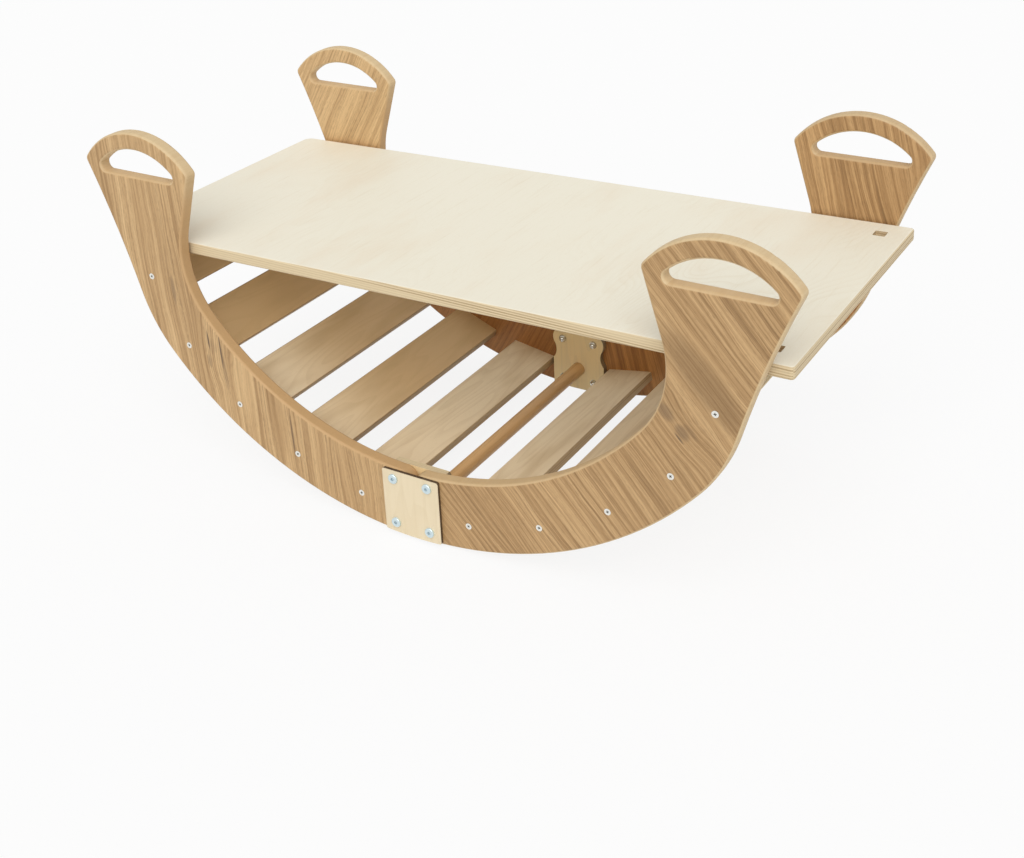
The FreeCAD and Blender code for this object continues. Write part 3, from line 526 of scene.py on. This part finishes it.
    relief = (1.0 - pores) * Veneer.PORE_RELIEF + (1.0 - line) * Veneer.LINE_RELIEF
    relief = relief + fine * Veneer.FINE_RELIEF
    roughness = Veneer.ROUGHNESS + Veneer.FINE_ROUGHNESS * fine + Veneer.CORE_ROUGHNESS * core
    return finish.done(Base_Color=colour, Roughness=roughness,
                       Normal=finish.bump(relief, Veneer.RELIEF, Veneer.RELIEF_STRENGTH))


class RockerDressSides(bpy.types.Operator):
    """Gives the four half sides their veneer, each with its own lean of the grain"""

    bl_idname = "rocker.dress_sides"
    bl_label = "Dress sides"

    def execute(self, context):
        look = context.scene.rocker.sides
        # Lean, tone, warmth, painted shade below the board and paleness of each half side
        tuning = {
            "front_left_side": (look.front_left, look.front_left_lift, 0.0, 0.0, 0.0),
            "front_right_side": (look.front_right, look.front_right_lift, 0.0, 0.0, look.front_right_pale),
            "back_left_side": (look.back_left, look.back_left_lift, 0.0, look.back_left_painted_shade, 0.0),
            "back_right_side": (look.back_right, look.back_right_lift, look.back_right_warmth, 0.0, 0.0),
        }
        for number, (node, tuned) in enumerate(tuning.items()):
            dress(node, veneered_board(node, look, SIDE_SEED_STEP * number, *tuned))
        return {"FINISHED"}


# Birch of the board, the plates, the slats and the battens

BIRCH_RELIEF = 0.0001
BIRCH_RELIEF_STRENGTH = 0.4
LEVEL_START = Show(0.35, 0.95)
LEVEL_END = Show(1.0, 0.95)


def level_lines(finish, grain, count, along, across, seed=0.0):
    """Gives the thin growth lines of a sliced face: a count of level lines of a stretched noise."""
    saw = finish.math("FRACT", finish.noise(grain, along, across, seed) * count)
    return finish.show(saw, LEVEL_START) * finish.show(saw, LEVEL_END)


def growth(first, second, seed=0.0):
    """Gives the smooth noise whose level lines are growth lines."""
    return Grain(first, second, seed, detail=1.5, rough=0.4)


class Plies:
    """Pattern of a ply edge, drawn along the edge and then through the plies, in metres and in plies."""

    SWAY = Grain(0.06, 0.01)
    SWAY_REACH = 0.12
    TONES = Grain(0.35, 1 / 5.1, 1.7, 1.0)
    TONE = Show(0.36, 0.66)
    FLECKS = Grain(0.004, 1 / 1.7, 3.1, 3.0, 0.65)
    HAIRS = Grain(0.0006, 1 / 2.0, 4.3, 1.0)
    HAIR = Show(0.55, 0.75)
    HAIR_SHARE = 0.3
    DARK_LEAST = 0.22
    DARK_TONE = 0.68
    FLECK_LEAST = 0.45
    FLECK_SHARE = 0.7
    GLUE_BELOW = Show(0.12, 0.0)
    GLUE_ABOVE = Show(0.88, 1.0)
    GLUE_SHARE = 0.14
    GLUE_RELIEF = 0.4
    GAPS = Grain(0.022, 1 / 7.3, 6.2, 1.0)
    GAP = Show(0.53, 0.58)


def ply_edges(finish, depth, ply, grain_shows, run, look, seed, dark_share=1.0, gap_share=0.0):
    """Gives the colour of a ply edge and the depth of its hollows.

    Plies lie in turn along and across their grain, each with a tone of its own that drifts along the edge,
    and with thin glue lines. Depth is measured through the sheet, run along its edge, and grain_shows is 1
    on edges where the even plies show their grain and 0 where the odd ones do. Dark_share is how far the
    dark plies show, and gap_share how far the short gaps in the core do.
    """
    layer = depth / ply + Plies.SWAY_REACH * (finish.noise(Plies.SWAY, run, depth, seed) - NOISE_MIDDLE)
    number = finish.math("FLOOR", layer)
    odd = abs(finish.math("MODULO", number, 2.0))
    across = abs(odd - grain_shows)
    within = finish.math("FRACT", layer)
    own = finish.show(finish.noise(Plies.TONES, run, number, seed), Plies.TONE) * dark_share
    fleck = finish.noise(Plies.FLECKS, run, layer, seed)
    hair = finish.show(finish.noise(Plies.HAIRS, run, layer, seed), Plies.HAIR)
    dark = across * (Plies.DARK_LEAST + Plies.DARK_TONE * own)
    dark = dark * (Plies.FLECK_LEAST + Plies.FLECK_SHARE * fleck)
    colour = finish.blend(dark, opaque(look.pale_ply), opaque(look.dark_ply))
    colour = finish.lay(colour, hair * across * dark_share * Plies.HAIR_SHARE, look.slat_line)
    glue = finish.show(within, Plies.GLUE_BELOW) + finish.show(within, Plies.GLUE_ABOVE)
    colour = finish.lay(colour, glue * dark_share * Plies.GLUE_SHARE, look.slot_wall)
    gap = finish.show(finish.noise(Plies.GAPS, run, number, seed), Plies.GAP) * across * gap_share
    return finish.lay(colour, gap, look.gap), gap + glue * Plies.GLUE_RELIEF


class Board:
    """Pattern of the board in its own frame, with heights measured from its top."""

    PATCHES = Grain(0.075, 0.24, 3.0, 4.0, 0.55)
    PATCH = Show(0.48, 0.76, 0.55)
    LINES = growth(0.26, 0.10, 5.0)
    LINE_COUNT = 28.0
    LINE_SHARE = 0.16
    CHOICE = Grain(0.16, 0.20, 6.3, 1.0)
    CHOSEN = Show(0.42, 0.66)
    CHOSEN_LEFT = 0.30
    CHOSEN_RIGHT = Show(0.05, 0.30, 0.70)
    FLECKS = Grain(0.006, 0.0007, 7.7, 1.0)
    FLECK = Show(0.60, 0.78)
    FLECK_SHARE = 0.18
    STREAKS = Grain(0.09, 0.005, 9.1, 4.0, 0.65)
    STREAK = Show(0.52, 0.78, 0.18)
    EDGE = Show(0.92, 0.70)
    END = Show(0.6, 0.8)
    PLY_SEED = 12.0
    GAP_FROM_END = Show(-0.03, -0.01)
    GAP_FRONT = Show(-0.02, -0.08)
    GAP_TOP = Show(-0.002, -0.004)
    GAP_BOTTOM = Show(-0.010, -0.008)
    DARK_LEAST = 0.20
    DARK_UPPER = Show(-0.011, -0.006, 0.80)
    SLOT_FROM_LEFT = Show(0.02, 0.03)
    SLOT_FROM_RIGHT = Show(-0.014, -0.018)
    SLOT_FROM_SIDE = Show(-0.018, -0.022)
    SLOT_SHARE = 0.60
    SLOT_PALER_BACK = Show(-0.05, 0.05, 0.35)
    ROUGHNESS = 0.50
    PATCH_ROUGHNESS = 0.12
    EDGE_ROUGHNESS = 0.10
    FLECK_RELIEF = 0.5
    LINE_RELIEF = 0.3
    STREAK_RELIEF = 0.2
    EDGE_RELIEF = 2.0


def board_finish(look):
    """Makes the finish of the board: rotary-cut birch faces, ply edges and darker slot walls.

    The faces' grain runs across the board, along Y: faint level lines of a stretched noise, warm patches,
    streaks, and short ray flecks. The gaps in the core show at the slotted end.
    """
    finish = new_finish("birch_board_ply")
    x, y, z = finish.place(BOARD_TOP, -BOARD_TILT)
    low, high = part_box("board")
    patches = finish.noise(Board.PATCHES, x, y)
    colour = finish.blend(finish.show(patches, Board.PATCH), opaque(look.board), opaque(look.blush))
    lines = level_lines(finish, Board.LINES, Board.LINE_COUNT, y, x)
    chosen = finish.show(finish.noise(Board.CHOICE, x, y), Board.CHOSEN)
    chosen = chosen * (Board.CHOSEN_LEFT + finish.show(x, Board.CHOSEN_RIGHT))
    colour = finish.lay(colour, lines * chosen * Board.LINE_SHARE, look.line)
    flecks = finish.show(finish.noise(Board.FLECKS, y, x), Board.FLECK)
    colour = finish.lay(colour, flecks * Board.FLECK_SHARE, look.line)
    streaks = finish.noise(Board.STREAKS, y, x)
    colour = finish.lay(colour, finish.show(streaks, Board.STREAK), look.line)

    normal_x, normal_z = finish.normal("XZ")
    edge = finish.show(abs(normal_z), Board.EDGE)
    end = finish.show(abs(normal_x), Board.END)
    gaps = finish.show(x - high.x, Board.GAP_FROM_END) * finish.show(y, Board.GAP_FRONT)
    gaps = gaps * finish.show(z, Board.GAP_TOP) * finish.show(z, Board.GAP_BOTTOM)
    dark_share = Board.DARK_LEAST + finish.show(z, Board.DARK_UPPER)
    plies, relief = ply_edges(finish, z + BOARD_THICKNESS, look.ply, 1.0 - end, x + y, look, Board.PLY_SEED,
                              dark_share, gaps)
    colour = finish.blend(edge, colour, plies)
    slot = finish.show(x - low.x, Board.SLOT_FROM_LEFT) * finish.show(x - high.x, Board.SLOT_FROM_RIGHT)
    slot = slot * finish.show(abs(y) - high.y, Board.SLOT_FROM_SIDE)
    slot = slot * (Board.SLOT_SHARE - finish.show(y, Board.SLOT_PALER_BACK))
    colour = finish.lay(colour, edge * slot, look.slot_wall)
    height = Board.FLECK_RELIEF * (1.0 - flecks) + Board.LINE_RELIEF * (1.0 - lines)
    height = height + Board.STREAK_RELIEF * streaks - Board.EDGE_RELIEF * relief * edge
    roughness = Board.ROUGHNESS + Board.PATCH_ROUGHNESS * patches + Board.EDGE_ROUGHNESS * edge
    return finish.done(Base_Color=colour, Roughness=roughness,
                       Normal=finish.bump(height, BIRCH_RELIEF, BIRCH_RELIEF_STRENGTH))


class Bar:
    """Pattern of a slat or batten, drawn along the bar and then across it."""

    SLANT = 0.35
    LINES = growth(0.34, 0.045)
    LINE_COUNT = 12.0
    LINE_SHARE = 0.15
    STREAKS = Grain(0.40, 0.0060, 2.2, 3.0, 0.6)
    STREAK = Show(0.52, 0.78, 0.20)
    CLOUDS = Grain(0.14, 0.03, 4.1)
    CLOUD = Show(0.44, 0.74, 0.44)
    PORES = Grain(0.008, 0.0006, 6.6, 1.0)
    PORE = Show(0.60, 0.76)
    PORE_SHARE = 0.16
    BACK = Show(-0.20, 0.02)
    SIDE = Show(-0.0016, -0.0006)
    PLY_SEED = 8.2
    ROUGHNESS = 0.52
    STREAK_ROUGHNESS = 0.14
    PORE_RELIEF = 0.6
    STREAK_RELIEF = 0.4


def birch_bar(name, front, back, side_shade, middle, turn, half, seed, look):
    """Makes the finish of a birch bar along Y: level lines of a noise, streaks, pores and ply sides.

    The colour drifts from front to back along the bar, which on the slats is partly their own tone and partly
    painted shade towards the back, below the board, and the long sides darken by the given share as painted
    shade. The middle and the turn carry the coordinates into the bar's own frame, X across it and Z through
    it, where half holds half its width and half its thickness.
    """
    finish = new_finish(name)
    x, y, z = finish.place(middle, turn)
    across = x + z * Bar.SLANT
    lines = level_lines(finish, Bar.LINES, Bar.LINE_COUNT, y, across, seed)
    streaks = finish.noise(Bar.STREAKS, y, across, seed)
    cloud = finish.noise(Bar.CLOUDS, y, across, seed)
    pores = finish.show(finish.noise(Bar.PORES, y, across, seed), Bar.PORE)
    # Front to back drift of the colour: on the slats partly their own tone, partly painted shade below the
    # board
    main = finish.blend(finish.show(y, Bar.BACK), opaque(front), opaque(back))
    colour = finish.lay(main, lines * Bar.LINE_SHARE, look.slat_line)
    colour = finish.lay(colour, finish.show(streaks, Bar.STREAK), look.slat_line)
    colour = finish.lay(colour, finish.show(cloud, Bar.CLOUD), look.slat_line)
    colour = finish.lay(colour, pores * Bar.PORE_SHARE, look.slat_line)
    side = finish.show(abs(x) - half[0], Bar.SIDE)
    plies, relief = ply_edges(finish, z + half[1], look.ply, 0.0, y, look, seed + Bar.PLY_SEED)
    # Painted shade: the long sides darken towards the slot walls' colour
    plies = finish.lay(plies, side_shade, look.slot_wall)
    colour = finish.blend(side, colour, plies)
    height = Bar.PORE_RELIEF * (1.0 - pores) + Bar.STREAK_RELIEF * streaks - relief * side
    return finish.done(Base_Color=colour, Roughness=Bar.ROUGHNESS + Bar.STREAK_ROUGHNESS * streaks,
                       Normal=finish.bump(height, BIRCH_RELIEF, BIRCH_RELIEF_STRENGTH))


class Plate:
    """Pattern of a joint plate, drawn up the plate and then across it."""

    LINES = growth(0.16, 0.030)
    LINE_COUNT = 6.0
    LINE_SHARE = 0.20
    STREAKS = Grain(0.12, 0.0045, 2.2, 3.0, 0.6)
    STREAK = Show(0.48, 0.74, 0.27)
    FLECKS = Grain(0.005, 0.0006, 5.5, 1.0)
    FLECK = Show(0.60, 0.78)
    FLECK_SHARE = 0.16
    EDGE = Show(0.80, 0.55)
    FLANK = Show(0.25, 0.75)
    PLY_SEED = 7.0
    CHAR = Grain(0.010, 0.010, 9.0, 3.0)
    CHAR_THROUGH = 0.004
    SCORCH_LEAST = 0.80
    SCORCH_CHAR = 0.30
    FLANK_LEAST = 0.45
    FLANK_CHAR = 0.35
    RIM = Show(-0.0016, 0.0)
    RIM_SHARE = 0.30
    ROUGHNESS = 0.52
    STREAK_ROUGHNESS = 0.12
    FLECK_RELIEF = 0.6
    STREAK_RELIEF = 0.4


def plate_finish(node, look, main, seed, burnt):
    """Makes the finish of a joint plate: upright birch grain, ply edges, burnt cut edges on the outer plates
    and darker flanks on the inner ones.

    Burnt tells whether the edges are dark all round, as on the outer plates, or on the flanks alone.
    """
    finish = new_finish(node + "_ply")
    x, y, z = finish.place()
    low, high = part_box(node)
    lines = level_lines(finish, Plate.LINES, Plate.LINE_COUNT, z, x, seed)
    streaks = finish.noise(Plate.STREAKS, z, x, seed)
    flecks = finish.show(finish.noise(Plate.FLECKS, z, x, seed), Plate.FLECK)
    colour = finish.lay(opaque(main), lines * Plate.LINE_SHARE, look.line)
    colour = finish.lay(colour, finish.show(streaks, Plate.STREAK), look.line)
    colour = finish.lay(colour, flecks * Plate.FLECK_SHARE, look.line)
    normal_x, normal_y = finish.normal("XY")
    edge = finish.show(abs(normal_y), Plate.EDGE)
    flank = finish.show(abs(normal_x), Plate.FLANK)
    plies, relief = ply_edges(finish, y - low.y, look.plate_ply, flank, x + z, look, seed + Plate.PLY_SEED)
    colour = finish.blend(edge, colour, plies)
    slanted = z + y * (Plate.CHAR.second / Plate.CHAR_THROUGH)
    char = finish.noise(Plate.CHAR, x, slanted, seed)
    if burnt:
        dark_edge = edge * (Plate.SCORCH_LEAST + Plate.SCORCH_CHAR * char)
        near = finish.show(abs(x) - high.x, Plate.RIM) + finish.show(z - high.z, Plate.RIM)
        colour = finish.lay(colour, near * Plate.RIM_SHARE * char, look.slot_wall)
    else:
        # Inner plates: the flanks alone are darker, in the burnt edges' colour
        dark_edge = edge * flank * (Plate.FLANK_LEAST + Plate.FLANK_CHAR * char)
    colour = finish.lay(colour, dark_edge, look.burn)
    height = Plate.FLECK_RELIEF * (1.0 - flecks) + Plate.STREAK_RELIEF * streaks - relief * edge
    return finish.done(Base_Color=colour, Roughness=Plate.ROUGHNESS + Plate.STREAK_ROUGHNESS * streaks,
                       Normal=finish.bump(height, BIRCH_RELIEF, BIRCH_RELIEF_STRENGTH))


# How golden each slat is at its front and its back end, below 0 where it is paler than the slats' main
# colour: partly each slat's own tone and partly painted shade, golden on the slats below the board and
# towards their backs, with painted light on the paler fronts of slats 3 and 4; and how far its long sides
# are browned as painted shade.
SLAT_TONES = ((0.9, 0.9, 0.6), (0.9, 1.0, 0.6), (-0.4, 0.8, 0.6), (-0.1, 0.9, 0.6), (0.0, -0.15, 0.6),
              (-0.1, -0.2, 0.6), (0.0, 0.0, 0.5), (0.1, 0.2, 0.2), (0.2, 0.2, 0.0), (0.1, 0.1, 0.0))
SLAT_SEED = 40.0
BATTEN_SEED = 140.0
BAR_SEED_STEP = 9.0
OUTER_PLATE_SEED = 240.0
INNER_PLATE_SEED = 300.0
PLATE_SEED_STEP = 30.0


class RockerDressBoard(bpy.types.Operator):
    """Gives the loose board its birch faces and ply edges, and the battens their pale wood"""

    bl_idname = "rocker.dress_board"
    bl_label = "Dress board and battens"

    def execute(self, context):
        look = context.scene.rocker.birch
        dress("board", board_finish(look))
        for number in range(1, BATTENS + 1):
            node = "batten_%d" % number
            low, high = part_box(node)
            half = ((high.x - low.x) / 2, (high.z - low.z) / 2)
            seed = BATTEN_SEED + BAR_SEED_STEP * number
            dress(node, birch_bar(node + "_birch", look.batten, look.batten, 0.0, (low + high) / 2,
                                  -BOARD_TILT, half, seed, look))
        return {"FINISHED"}


def slat_turn(low, high, look):
    """Gives a slat's turn about Y from its box.

    A bar of width w and thickness t, less its roundings, has a box of w cos + t sin by w sin + t cos. The
    sum and the difference of the two give cos + sin and cos - sin.
    """
    wide = high.x - low.x
    tall = high.z - low.z
    corner = 4 * look.slat_round
    both = (wide + tall - corner) / (look.slat_width + look.slat_thickness - corner)
    apart = (wide - tall) / (look.slat_width - look.slat_thickness)
    turn = math.atan2(both - apart, both + apart)
    return -math.copysign(turn, low.x + high.x)


class RockerDressSlats(bpy.types.Operator):
    """Gives the ten slats their birch, each with its own grain"""

    bl_idname = "rocker.dress_slats"
    bl_label = "Dress slats"

    def execute(self, context):
        look = context.scene.rocker.birch
        half = (look.slat_width / 2, look.slat_thickness / 2)
        for number, (front_gold_and_shade, back_gold_and_shade, side_shade) in enumerate(SLAT_TONES, 1):
            node = "slat_%d" % number
            low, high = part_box(node)
            # Golden share at each end: own tone and painted shade, and painted light where it is below 0
            front = look.slat * (1 - front_gold_and_shade) + look.slat_gold * front_gold_and_shade
            back = look.slat * (1 - back_gold_and_shade) + look.slat_gold * back_gold_and_shade
            seed = SLAT_SEED + BAR_SEED_STEP * number
            dress(node, birch_bar(node + "_birch", front, back, side_shade, (low + high) / 2,
                                  slat_turn(low, high, look), half, seed, look))
        return {"FINISHED"}


class RockerDressPlates(bpy.types.Operator):
    """Gives the joint plates their birch, bare of any printing, with dark cut edges"""

    bl_idname = "rocker.dress_plates"
    bl_label = "Dress plates"

    def execute(self, context):
        look = context.scene.rocker.birch
        for number, side in enumerate(("front", "back")):
            outer = side + "_outer_plate"
            inner = side + "_inner_plate"
            step = PLATE_SEED_STEP * number
            dress(outer, plate_finish(outer, look, look.plate, OUTER_PLATE_SEED + step, True))
            dress(inner, plate_finish(inner, look, look.inner_plate, INNER_PLATE_SEED + step, False))
        return {"FINISHED"}


# Rung and fasteners

class Beech:
    """Pattern of the rung, drawn along it and then on a slant across it."""

    LINES = growth(0.50, 0.014, 401.0)
    LINE_COUNT = 7.0
    LINE_SLANT = 0.6
    LINE_SHARE = 0.30
    STREAKS = Grain(0.30, 0.0030, 404.0, 3.0, 0.6)
    STREAK_SLANT = 1.7
    STREAK = Show(0.50, 0.76, 0.40)
    FLECKS = Grain(0.0030, 0.0006, 407.0, 1.0)
    FLECK = Show(0.60, 0.74)
    FLECK_SHARE = 0.30
    ROUGHNESS = 0.42
    STREAK_ROUGHNESS = 0.16
    FLECK_RELIEF = 0.5
    STREAK_RELIEF = 0.5


class RockerDressRung(bpy.types.Operator):
    """Gives the rung its turned beech: long lines and short dark flecks along it"""

    bl_idname = "rocker.dress_rung"
    bl_label = "Dress rung"

    def execute(self, context):
        look = context.scene.rocker.metal
        low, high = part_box("rung")
        finish = new_finish("rung_beech")
        x, y, z = finish.place((low + high) / 2)
        lines = level_lines(finish, Beech.LINES, Beech.LINE_COUNT, y, x + Beech.LINE_SLANT * z)
        streaks = finish.noise(Beech.STREAKS, y, x + Beech.STREAK_SLANT * z)
        flecks = finish.show(finish.noise(Beech.FLECKS, y, x - z), Beech.FLECK)
        colour = finish.lay(opaque(look.beech), lines * Beech.LINE_SHARE, look.beech_line)
        colour = finish.lay(colour, finish.show(streaks, Beech.STREAK), look.beech_line)
        colour = finish.lay(colour, flecks * Beech.FLECK_SHARE, look.beech_line)
        height = (1.0 - flecks) * Beech.FLECK_RELIEF + streaks * Beech.STREAK_RELIEF
        roughness = Beech.ROUGHNESS + Beech.STREAK_ROUGHNESS * streaks
        dress("rung", finish.done(Base_Color=colour, Roughness=roughness,
                                  Normal=finish.bump(height, BIRCH_RELIEF, BIRCH_RELIEF_STRENGTH)))
        return {"FINISHED"}


class Plating:
    """Pattern of plated steel, depths of the drive recesses, and roughness and seed of each finish."""

    CLOUDS = Grain(0.002, 0.002, 0.0, 3.0, 0.6)
    CLOUD = Show(0.45, 0.80, 0.20)
    CLOUD_ROUGHNESS = 0.14
    SCRATCHES = Grain(0.004, 0.00015, 3.0)
    SCRATCH_RELIEF = 0.00003
    SCRATCH_STRENGTH = 0.3
    RECESS_DEPTH = Show(0.0003, 0.0008)
    SOCKET_DEPTH = Show(0.0005, 0.0012)
    SOCKET_HALF = Show(0.0030, 0.0022)
    SCREW_ROUGHNESS = 0.32
    BOLT_ROUGHNESS = 0.30
    NUT_ROUGHNESS = 0.10
    SLAT_SCREW_SEED = 500.0
    BOLT_SEED = 520.0
    NUT_SEED = 540.0
    BATTEN_SCREW_SEED = 560.0


def plated(name, colour, recess, roughness, seed, sunk=None):
    """Makes the finish of plated steel: cloudy plating, faint turning marks and shaded recesses.

    Sunk, if given, makes the share that is 1 inside a drive recess and 0 elsewhere.
    """
    finish = new_finish(name)
    x, y, z = finish.place()
    cloud = finish.noise(Plating.CLOUDS, x, z + y, seed)
    scratch = finish.noise(Plating.SCRATCHES, x, z + y, seed)
    base = finish.lay(opaque(colour), finish.show(cloud, Plating.CLOUD), recess)
    bright = 1.0
    if sunk is not None:
        inside = sunk(finish, x, y)
        base = finish.lay(base, inside, recess)
        bright = 1.0 - inside
    cloudy = roughness + Plating.CLOUD_ROUGHNESS * cloud
    return finish.done(Base_Color=base, Metallic=bright, Roughness=cloudy,
                       Normal=finish.bump(scratch, Plating.SCRATCH_RELIEF, Plating.SCRATCH_STRENGTH))


def in_recess(finish, x, y, face, depth, spread=None):
    """Gives 1 inside a drive recess, below a face that lies at a distance along Y from the middle.

    A spread, if given, keeps it near the fasteners' axes, which lie that far along X from the middle.
    """
    inside = finish.show(face - abs(y), depth)
    if spread is not None:
        inside = inside * finish.show(abs(abs(x) - spread), Plating.SOCKET_HALF)
    return inside


class RockerDressFasteners(bpy.types.Operator):
    """Gives the screws, bolts and dome nuts their plating, with shaded drive recesses"""

    bl_idname = "rocker.dress_fasteners"
    bl_label = "Dress fasteners"

    def execute(self, context):
        look = context.scene.rocker.metal
        for side in ("front", "back"):
            low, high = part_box(side + "_slat_screws")
            recess = partial(in_recess, face=max(abs(low.y), abs(high.y)), depth=Plating.RECESS_DEPTH)
            dress(side + "_slat_screws", plated(side + "_screw_zinc", look.screw, look.recess,
                                                Plating.SCREW_ROUGHNESS, Plating.SLAT_SCREW_SEED, recess))
            low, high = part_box(side + "_plate_bolts")
            socket = partial(in_recess, face=max(abs(low.y), abs(high.y)), depth=Plating.SOCKET_DEPTH,
                             spread=high.x - look.bolt_head / 2)
            dress(side + "_plate_bolts", plated(side + "_bolt_zinc", look.bolt, look.socket,
                                                Plating.BOLT_ROUGHNESS, Plating.BOLT_SEED, socket))
            dress(side + "_dome_nuts", plated(side + "_nut_nickel", look.nut, look.recess,
                                              Plating.NUT_ROUGHNESS, Plating.NUT_SEED))
        dress("batten_screws", plated("batten_screw_zinc", look.screw, look.recess, Plating.SCREW_ROUGHNESS,
                                      Plating.BATTEN_SCREW_SEED))
        return {"FINISHED"}


# Stage

# Camera: its own right, up and back axes as the columns of a turn, and its place in metres.
CAMERA_TURN = ((0.852219, -0.166802, 0.495884),
               (0.521366, 0.349743, -0.778368),
               (-0.043598, 0.921877, 0.385022))
CAMERA_PLACE = (0.88508, -1.38909, 0.99411)
CAMERA_SHIFT = (0.0119, -0.1852)
SENSOR_WIDTH = 36.0
# Direction in which the lamp stands, seen from the object.
LAMP_DIRECTION = (0.28, -0.64, 0.71)
FLOOR_LINES = 9


def floor_mesh(reach):
    """Makes the floor as a grid of two parameters from -reach to reach along X and Y at Z = 0."""
    steps = np.linspace(-reach, reach, FLOOR_LINES)
    across, along = np.meshgrid(steps, steps)
    points = np.stack([across, along, np.zeros_like(across)], axis=-1).reshape(-1, 3)
    cells = np.arange(FLOOR_LINES - 1)
    corner = (cells[:, None] * FLOOR_LINES + cells).ravel()
    faces = np.stack([corner, corner + 1, corner + FLOOR_LINES + 1, corner + FLOOR_LINES], axis=1)
    mesh = bpy.data.meshes.new("floor")
    mesh.from_pydata(points.tolist(), [], faces.tolist())
    return mesh


def lifted_white(finish, surface, whiteness):
    """Lifts a surface or world towards white where the camera, a reflection or glass looks at it."""
    ways = ("Is Camera Ray", "Is Glossy Ray", "Is Transmission Ray")
    seen = [finish.node("ShaderNodeLightPath", output=way) for way in ways]
    any_way = finish.math("MINIMUM", seen[0] + seen[1] + seen[2], 1.0)
    white = finish.node("ShaderNodeEmission", inputs={"Color": WHITE, "Strength": 1.0})
    return finish.node("ShaderNodeMixShader", inputs={0: any_way * whiteness, 1: surface, 2: white})


class RockerSetStage(bpy.types.Operator):
    """Makes the pale floor, the soft light and the camera"""

    bl_idname = "rocker.set_stage"
    bl_label = "Set stage"

    def execute(self, context):
        look = context.scene.rocker.stage
        scene = context.scene
        floor = bpy.data.objects.new("floor", floor_mesh(look.floor_reach))
        scene.collection.objects.link(floor)
        finish = new_finish("floor_paint")
        paint = finish.node("ShaderNodeBsdfDiffuse", inputs={"Color": opaque(look.floor)})
        white = lifted_white(finish, paint, look.whiteness)
        finish.feed(finish.tree.nodes["Material Output"].inputs["Surface"], white)
        floor.data.materials.append(finish.owner)

        world = bpy.data.worlds.new("soft_sky")
        scene.world = world
        sky = Finish(world)
        light = sky.node("ShaderNodeBackground", inputs={"Color": WHITE, "Strength": look.sky})
        white = lifted_white(sky, light, 1.0)
        sky.feed(sky.tree.nodes["World Output"].inputs["Surface"], white)

        lamp = bpy.data.lights.new("soft_lamp", "SUN")
        lamp.energy = look.lamp
        lamp.angle = look.lamp_spread
        lamp_object = bpy.data.objects.new("soft_lamp", lamp)
        scene.collection.objects.link(lamp_object)
        lamp_object.rotation_euler = Vector(LAMP_DIRECTION).to_track_quat("Z", "Y").to_euler()

        camera = bpy.data.cameras.new("camera")
        camera.sensor_width = SENSOR_WIDTH
        camera.sensor_fit = "HORIZONTAL"
        camera.lens = look.lens
        camera.shift_x, camera.shift_y = CAMERA_SHIFT
        camera_object = bpy.data.objects.new("camera", camera)
        scene.collection.objects.link(camera_object)
        camera_object.matrix_world = Matrix.Translation(CAMERA_PLACE) @ Matrix(CAMERA_TURN).to_4x4()
        scene.camera = camera_object
        scene.view_settings.view_transform = "Standard"
        return {"FINISHED"}


# Sidebar

class RockerPanel(bpy.types.Panel):
    """Lists the rocker's finishes and their settings"""

    bl_idname = "VIEW3D_PT_rocker"
    bl_label = "Balance rocker"
    bl_space_type = "VIEW_3D"
    bl_region_type = "UI"
    bl_category = "Rocker"

    def draw(self, context):
        for operator in OPERATORS:
            self.layout.operator(operator.bl_idname)
        settings = context.scene.rocker
        for group in ("sides", "birch", "metal", "stage"):
            box = self.layout.box()
            values = getattr(settings, group)
            for name in values.bl_rna.properties.keys():
                if name not in ("rna_type", "name"):
                    box.prop(values, name)


OPERATORS = (RockerDressSides, RockerDressBoard, RockerDressSlats, RockerDressPlates, RockerDressRung,
             RockerDressFasteners, RockerSetStage)
CLASSES = (RockerSideSettings, RockerBirchSettings, RockerMetalSettings, RockerStageSettings, RockerSettings,
           *OPERATORS, RockerPanel)


def register():
    """Registers the classes and hangs the settings on the scene."""
    for item in CLASSES:
        bpy.utils.register_class(item)
    bpy.types.Scene.rocker = bpy.props.PointerProperty(type=RockerSettings)


def unregister():
    """Takes the settings and the classes away again."""
    del bpy.types.Scene.rocker
    for item in reversed(CLASSES):
        bpy.utils.unregister_class(item)


def main():
    """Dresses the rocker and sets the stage."""
    register()
    bpy.ops.rocker.dress_sides()
    bpy.ops.rocker.dress_board()
    bpy.ops.rocker.dress_slats()
    bpy.ops.rocker.dress_plates()
    bpy.ops.rocker.dress_rung()
    bpy.ops.rocker.dress_fasteners()
    bpy.ops.rocker.set_stage()
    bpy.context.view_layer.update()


if __name__ == "__main__":
    main()
